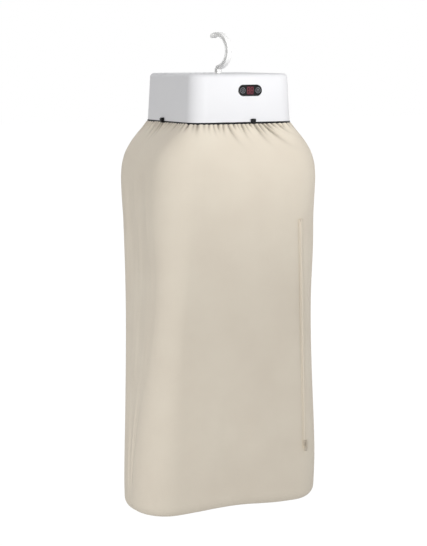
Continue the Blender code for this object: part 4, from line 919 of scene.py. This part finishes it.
foot_drop = BAG_LENGTH - FOOT_ROUND
straight_rows = np.concatenate([
    np.linspace(0, HEM_DROP, HEM_ROWS, endpoint=False),
    np.linspace(HEM_DROP, SHOULDER_DROP, SHOULDER_ROWS, endpoint=False),
    np.linspace(SHOULDER_DROP, foot_drop, BODY_ROWS),
])


def eased(share):
    """A share from 0 to 1 that starts and ends softly."""
    share = np.clip(share, 0, 1)
    return share * share * (3 - 2 * share)


def smooth_through(x, xs, ys):
    """A curve without overshoot through a few known points."""
    xs, ys = np.array(xs), np.array(ys)
    slopes = np.diff(ys) / np.diff(xs)
    tangents = np.zeros(len(xs))
    for k in range(1, len(xs) - 1):
        low, high = slopes[k - 1], slopes[k]
        tangents[k] = 0 if low * high <= 0 else 2 * low * high / (low + high)
    tangents[0] = slopes[0] * FIRST_SLOPE
    k = min(max(int(np.searchsorted(xs, x) - 1), 0), len(xs) - 2)
    width = xs[k + 1] - xs[k]
    t = (x - xs[k]) / width
    return float(
        (2 * t ** 3 - 3 * t ** 2 + 1) * ys[k] + (t ** 3 - 2 * t ** 2 + t) * width * tangents[k]
        + (3 * t ** 2 - 2 * t ** 3) * ys[k + 1] + (t ** 3 - t ** 2) * width * tangents[k + 1])


def bag_half_width(drop):
    """Half the bag's width, which narrows from the shoulder to the waist and widens to the foot."""
    if drop < WAIST_DROP:
        share = (drop - SHOULDER_DROP) / (WAIST_DROP - SHOULDER_DROP)
        return SHOULDER_HALF[0] + (WAIST_HALF - SHOULDER_HALF[0]) * float(eased(share))
    share = (drop - WAIST_DROP) / (foot_drop - WAIST_DROP)
    return WAIST_HALF + (FOOT_HALF[0] - WAIST_HALF) * float(eased(share))


def bag_section(drop):
    """The bag's reach to the right and to the left, half its depth, and its right and left corner radius."""
    if drop <= SHOULDER_DROP:
        spread = smooth_through(drop / SHOULDER_DROP, SPREAD_DROPS, SPREADS)
        half_x = NECK_HALF + (SHOULDER_HALF[0] - NECK_HALF) * spread
        half_y = NECK_HALF + (SHOULDER_HALF[1] - NECK_HALF) * spread
        corner = NECK_CORNER + (SHOULDER_CORNER - NECK_CORNER) * spread
        return half_x, half_x, half_y, corner, corner
    half_x = bag_half_width(drop)
    half_y = SHOULDER_HALF[1] + (FOOT_HALF[1] - SHOULDER_HALF[1]) * (drop - SHOULDER_DROP) / (
        foot_drop - SHOULDER_DROP)
    # The zip is straight, so the rounding that it lies on follows it.
    turned = 1 - sin(ZIP_TILT)
    zip_top = bag_half_width(ZIP_DROPS[0]) - SHOULDER_CORNER * turned
    zip_foot = bag_half_width(ZIP_DROPS[1]) - BAG_CORNER * turned
    corner = (half_x - float(np.interp(drop, ZIP_DROPS, (zip_top, zip_foot)))) / turned
    if drop <= ZIP_DROPS[0]:
        corner = SHOULDER_CORNER
    if drop >= ZIP_DROPS[1]:
        corner = BAG_CORNER
    # The cloth hangs a little slacker on the left, away from the zip.
    left_x = half_x - LEFT_SWAY * float(eased((drop - SWAY_DROP) / SWAY_REACH))
    left_corner = corner + LEFT_SLACK * float(eased((drop - WAIST_DROP) / (foot_drop - WAIST_DROP)))
    return half_x, left_x, half_y, corner, left_corner


def bag_ring(right, left, half_y, corner, left_corner, height):
    """A rounded rectangle with the same share of its points on each side and corner."""
    points = []
    middles = (
        (right - corner, -half_y + corner, -pi / 2, corner), (right - corner, half_y - corner, 0, corner),
        (-left + left_corner, half_y - left_corner, pi / 2, left_corner),
        (-left + left_corner, -half_y + left_corner, pi, left_corner),
    )
    for k, (x, y, first, radius) in enumerate(middles):
        for step in range(CORNER_COLUMNS):
            turn = first + pi / 2 * step / CORNER_COLUMNS
            points.append((x + radius * cos(turn), y + radius * sin(turn), height))
        nx, ny, following, next_radius = middles[(k + 1) % 4]
        begin = np.array((x + radius * cos(first + pi / 2), y + radius * sin(first + pi / 2), height))
        end = np.array((nx + next_radius * cos(following), ny + next_radius * sin(following), height))
        for step in range(SIDE_STEPS):
            points.append(tuple(begin + (end - begin) * step / SIDE_STEPS))
    return points


def wrapped(distance):
    """A distance round the neck, taken the shorter way."""
    return (distance + neck_round / 2) % neck_round - neck_round / 2


def drift(count, across, tall, height):
    """A number of soft swells, by their waves round the bag, their length down it and their height."""
    total = np.zeros((row_count, column_count))
    turn = 2 * pi * np.arange(column_count) / column_count
    for _ in range(count):
        waves = draw.integers(across[0], across[1])
        total += draw.uniform(-1, 1) * np.sin(
            waves * turn[None, :] + draw.uniform(0, 2 * pi) + draw.uniform(-1, 1) * drops[:, None] * 3
        ) * np.cos(2 * pi * drops[:, None] / draw.uniform(*tall) + draw.uniform(0, 2 * pi))
    return total * height / sqrt(count)


def line_scale(size):
    """The scale at which a wave texture draws its lines this far apart."""
    return 1 / size / LINE_FACTOR


# The bag's smooth form: rings of points down to the foot, round its edge, and inwards under it.
rows = [(bag_section(drop), drop) for drop in straight_rows]
foot_right, foot_left, foot_y, foot_corner, foot_left_corner = bag_section(foot_drop)
for turn in np.linspace(0, pi / 2, FOOT_STEPS + 1)[1:]:
    back = FOOT_ROUND * (1 - cos(turn))
    rows.append((
        (foot_right - back, foot_left - back, foot_y - back, foot_corner - back, foot_left_corner - back),
        foot_drop + FOOT_ROUND * sin(turn)))
flat_y = foot_y - FOOT_ROUND
for share in FOOT_SHARES:
    inset = FOOT_ROUND + flat_y * (1 - share)
    corners = [min((corner - FOOT_ROUND) * share, flat_y * share)
               for corner in (foot_corner, foot_left_corner)]
    rows.append(((foot_right - inset, foot_left - inset, flat_y * share, *corners), BAG_LENGTH))
base = np.array([bag_ring(*section, BAG_TOP - drop) for section, drop in rows])
drops = np.array([drop for section, drop in rows])
row_count, column_count = base.shape[:2]

# The cloth's own directions at each point: round the bag, down it, and out of it.
around = np.roll(base, -1, 1) - np.roll(base, 1, 1)
around /= np.linalg.norm(around, axis=2, keepdims=True)
down = np.gradient(base, axis=0)
down /= np.linalg.norm(down, axis=2, keepdims=True) + 1e-12
outward = np.cross(down, around)
outward /= np.linalg.norm(outward, axis=2, keepdims=True) + 1e-12
if (outward[MIDDLE_ROW, :, :2] * base[MIDDLE_ROW, :, :2]).sum() < 0:
    outward = -outward

steps = np.linalg.norm(np.diff(base, axis=0), axis=2)
fall = np.vstack([np.zeros(column_count), np.cumsum(steps, axis=0)])
ring_steps = np.linalg.norm(np.roll(base[0], -1, 0) - base[0], axis=1)
along_neck = np.concatenate([[0], np.cumsum(ring_steps)[:-1]])
neck_round = float(ring_steps.sum())

# Gathers: the elastic draws the hem into sharp tucks. Each is deepest just below the flange, dies out down
# the shoulder and, on the front, leans to the right. The cloth puffs out between them.
draw = np.random.default_rng(GATHER_SEED)
push = np.zeros((row_count, column_count))
tuck = np.zeros((row_count, column_count))
place = 0.0
while place < neck_round:
    depth = draw.uniform(*TUCK_DEPTH_SHARES)
    length = draw.choice(TUCK_LENGTHS, p=TUCK_LENGTH_ODDS) * draw.uniform(*TUCK_LENGTH_SHARES)
    width = draw.uniform(*TUCK_WIDTHS)
    front_share = np.clip((place / neck_round - FRONT_START) / FRONT_SHARE, 0, 1)
    lean = draw.uniform(*TUCK_LEANS) + FRONT_LEAN * front_share
    off = wrapped(along_neck[None, :] - place - lean * fall)
    spread_width = width + TUCK_WIDENING * fall
    tuck = np.maximum(
        tuck,
        depth * np.exp(-(np.abs(off) / spread_width) ** TUCK_POWER) * np.exp(-(fall / length) ** TUCK_POWER))
    place += draw.uniform(*TUCK_STEPS)
rise = np.minimum(1, RISE_SHARE + fall / RISE_REACH)
push += PUFF * np.exp(-(fall / PUFF_REACH) ** 2) - TUCK_DEPTH * rise * tuck
# Broad soft folds between the gathers and the shoulder.
for _ in range(FOLD_COUNT):
    place = draw.uniform(0, neck_round)
    width = draw.uniform(*FOLD_WIDTHS)
    reach_down = draw.uniform(*FOLD_REACHES)
    height = draw.uniform(*FOLD_HEIGHTS)
    off = wrapped(along_neck[None, :] - place)
    push += height * np.exp(-(off / width) ** 2) * np.exp(-((fall - FOLD_DROP) / reach_down) ** 2)

# Slow swells over the body, broad ones and narrow ones, which grow calmer towards the foot.
body_share = eased((drops - DRIFT_DROP) / DRIFT_EASE)
body_share = body_share * (1 - DRIFT_CALM * eased((drops - DRIFT_CALM_DROP) / DRIFT_EASE))
for count, across, tall, height in ((14, (4, 14), (0.35, 0.9), 0.0024), (16, (16, 34), (0.25, 0.8), 0.0005)):
    push += drift(count, across, tall, height) * body_share[:, None]

# The air fills out the cloth behind the right front corner, below the shoulder.
aside = wrapped(along_neck - along_neck[SWELL_COLUMN])
push += SWELL * np.exp(-((drops - SWELL_DROP) / SWELL_TALL) ** 2)[:, None] * np.exp(
    -(aside / np.where(aside > 0, SWELL_BEHIND, SWELL_BEFORE)) ** 2)[None, :]

# At the hem the tucks reach no deeper than the elastic.
room = NECK_ROOM + base[:, :, :2].max(axis=(1, 2)) - NECK_HALF
push = np.maximum(push, -room[:, None])

# Each long side of the foot lies a little higher in its middle and sags either side of it.
foot_share = eased((drops - SAG_DROP) / SAG_EASE)
cloth_points = base + outward * push[:, :, None]
cloth_points[..., 2] += foot_share[:, None] * SAG * np.cos(pi * base[..., 0] / SAG_REACH * SAG_HALF_WAVES)

# The cloth's map is as large as the cloth: its girth across, and the mean way down it.
girth = float(np.linalg.norm(np.roll(base[MIDDLE_ROW], -1, 0) - base[MIDDLE_ROW], axis=1).sum())
u_at = np.append(along_neck / neck_round, 1.0) * girth
v_at = -fall.mean(axis=1)
faces = []
uv = []
for row in range(row_count - 1):
    for column in range(column_count):
        ends = ((row, column), (row + 1, column), (row + 1, column + 1), (row, column + 1))
        faces.append([r * column_count + c % column_count for r, c in ends])
        uv += [(u_at[c], v_at[r]) for r, c in ends]
faces.append([(row_count - 1) * column_count + column for column in range(column_count)])
uv += [(0, 0)] * column_count
cloth_mesh = bpy.data.meshes.new("bag_cloth")
cloth_mesh.from_pydata(cloth_points.reshape(-1, 3).tolist(), [], faces)
bag = placed("bag_cloth", cloth_mesh)
cloth_map = cloth_mesh.uv_layers.new(name="cloth")
cloth_map.data.foreach_set("uv", np.array(uv).ravel())
# The tucks' share is also kept on the cloth, where the material uses it to paint shade into them.
tuck_shade_layer = cloth_mesh.attributes.new("tuck", "FLOAT", "POINT")
tuck_shade_layer.data.foreach_set("value", tuck.ravel())
take(bag)
edit()
bpy.ops.mesh.select_all(action="SELECT")
bpy.ops.mesh.normals_make_consistent(inside=False)
done()
bpy.ops.object.shade_smooth()

# Plain-woven polyester: cream, soft and nearly matt, with a faint sheen where it turns away and slow
# changes of tone. The threads are about 0.3 mm and are drawn at 1.4 mm so that they show.
polyester, cloth_tree = fresh("polyester_plain_woven_cream")
cloth_uv = add(cloth_tree, "UVMap", {}, uv_map="cloth")
cloth_place = add(cloth_tree, "TexCoord", {}).outputs["Object"]
warp, weft = [
    add(cloth_tree, "TexWave", {
        "Vector": cloth_uv, "Scale": line_scale(THREAD), "Distortion": 0.3, "Detail": 1.0,
        "Detail Scale": 40.0,
    }, wave_type="BANDS", bands_direction=direction, wave_profile="SIN").outputs["Fac"]
    for direction in ("X", "Y")
]
weave = add(cloth_tree, "Math", {0: warp, 1: weft}, operation="MULTIPLY")
blotch = add(cloth_tree, "TexNoise", {"Vector": cloth_place, "Scale": 9.0, "Detail": 3.0, "Roughness": 0.5})
blotch_share = add(cloth_tree, "MapRange", {"Value": blotch, "From Min": 0.3, "From Max": 0.7})
cloth_tone = add(cloth_tree, "MixRGB", {
    "Fac": blotch_share, "Color1": linear("#EFE4D3"), "Color2": linear("#F4EAD9"),
})
thread_tone = add(cloth_tree, "MixRGB", {
    "Fac": 0.10, "Color1": cloth_tone, "Color2": weave,
}, blend_type="MULTIPLY")
# Painted shade: deep in the tucks the cloth's colour is darkened towards a grey brown, standing in for the
# shadow that falls in them.
tuck_shade_mask = add(cloth_tree, "Attribute", {}, attribute_name="tuck")
painted_tuck_shade = add(cloth_tree, "MixRGB", {
    "Fac": tuck_shade_mask.outputs["Fac"], "Color1": thread_tone, "Color2": linear("#6E655A"),
})
cloth_relief = add(cloth_tree, "Bump", {"Height": weave, "Strength": 0.25, "Distance": 0.0002})
surface(cloth_tree, {
    "Base Color": painted_tuck_shade, "Roughness": 0.78, "Normal": cloth_relief,
    "Sheen Weight": 0.12, "Sheen Roughness": 0.5, "IOR": 1.45,
})
settle(bag, polyester, "bag", "bag_shell")

# The elastic in the hem: a flat knitted band, ribbed every 2.2 mm along its length, that grips the collar.
knitted, knit_tree = fresh("elastic_knitted_beige")
knit_place = add(knit_tree, "TexCoord", {}).outputs["Object"]
ribs = add(knit_tree, "TexWave", {
    "Vector": knit_place, "Scale": line_scale(RIB), "Distortion": 1.0, "Detail Scale": 30.0,
}, wave_type="BANDS", bands_direction="Z")
knit_tone = add(knit_tree, "MixRGB", {
    "Fac": ribs.outputs["Fac"], "Color1": linear("#BDB4A0"), "Color2": linear("#D2CAB8"),
})
knit_relief = add(knit_tree, "Bump", {"Height": ribs.outputs["Fac"], "Strength": 0.5, "Distance": 0.0003})
surface(knit_tree, {"Base Color": knit_tone, "Roughness": 0.85, "Normal": knit_relief})
band = dress("bag_neck_band", "neck_elastic", knitted, "bag", edge=0.0004, smooth=40)


# The zip on the bag's right front rounding: a coil zip, its tape and coil dyed to the cloth, with stops and
# a die-cast slider and pull lacquered to match. The pull hangs free.

TWILL = 0.0012

# Twill tape: the cloth's cream, with slanted lines about 0.5 mm apart that are drawn at 1.2 mm.
tape_cloth, tape_tree = fresh("polyester_tape_twill_cream")
tape_place = add(tape_tree, "TexCoord", {}).outputs["Object"]
twill = add(tape_tree, "TexWave", {
    "Vector": tape_place, "Scale": line_scale(TWILL), "Distortion": 0.4, "Detail Scale": 30.0,
}, wave_type="BANDS", bands_direction="DIAGONAL")
tape_tone = add(tape_tree, "MixRGB", {
    "Fac": twill.outputs["Fac"], "Color1": linear("#E9DECD"), "Color2": linear("#F0E6D5"),
})
surface(tape_tree, {"Base Color": tape_tone, "Roughness": 0.8})
# Lacquered zinc die casting: the cloth's cream a shade deeper, smooth, with a soft gloss.
lacquer = moulded("zinc_die_cast_lacquered", "#C4B9A8", "#CCC1B0", 0.35, 0.0008, 0.00002)
# The stops' lacquer is paler and more matt, close to the tape.
stop_lacquer = moulded("zinc_stop_lacquered", "#DED2C1", "#E4D9C8", 0.45, 0.0008, 0.00002)

for node, name, material, body, finish in (
    ("zip_tape", "zip_tape_cloth", tape_cloth, "bag", "zip_tape"),
    ("zip_teeth", "zip_coil", tape_cloth, "bag", "zip_tape"),
    ("zip_bottom_stop", "zip_stop_low", stop_lacquer, "bag", "zinc_steel"),
    ("zip_top_stop", "zip_stop_high", stop_lacquer, "bag", "zinc_steel"),
    ("zip_slider", "slider_casting", lacquer, "zip_slider", "zinc_steel"),
    ("zip_pull", "pull_casting", lacquer, "zip_pull", "zinc_steel"),
):
    dress(node, name, material, body, edge=0.0003)
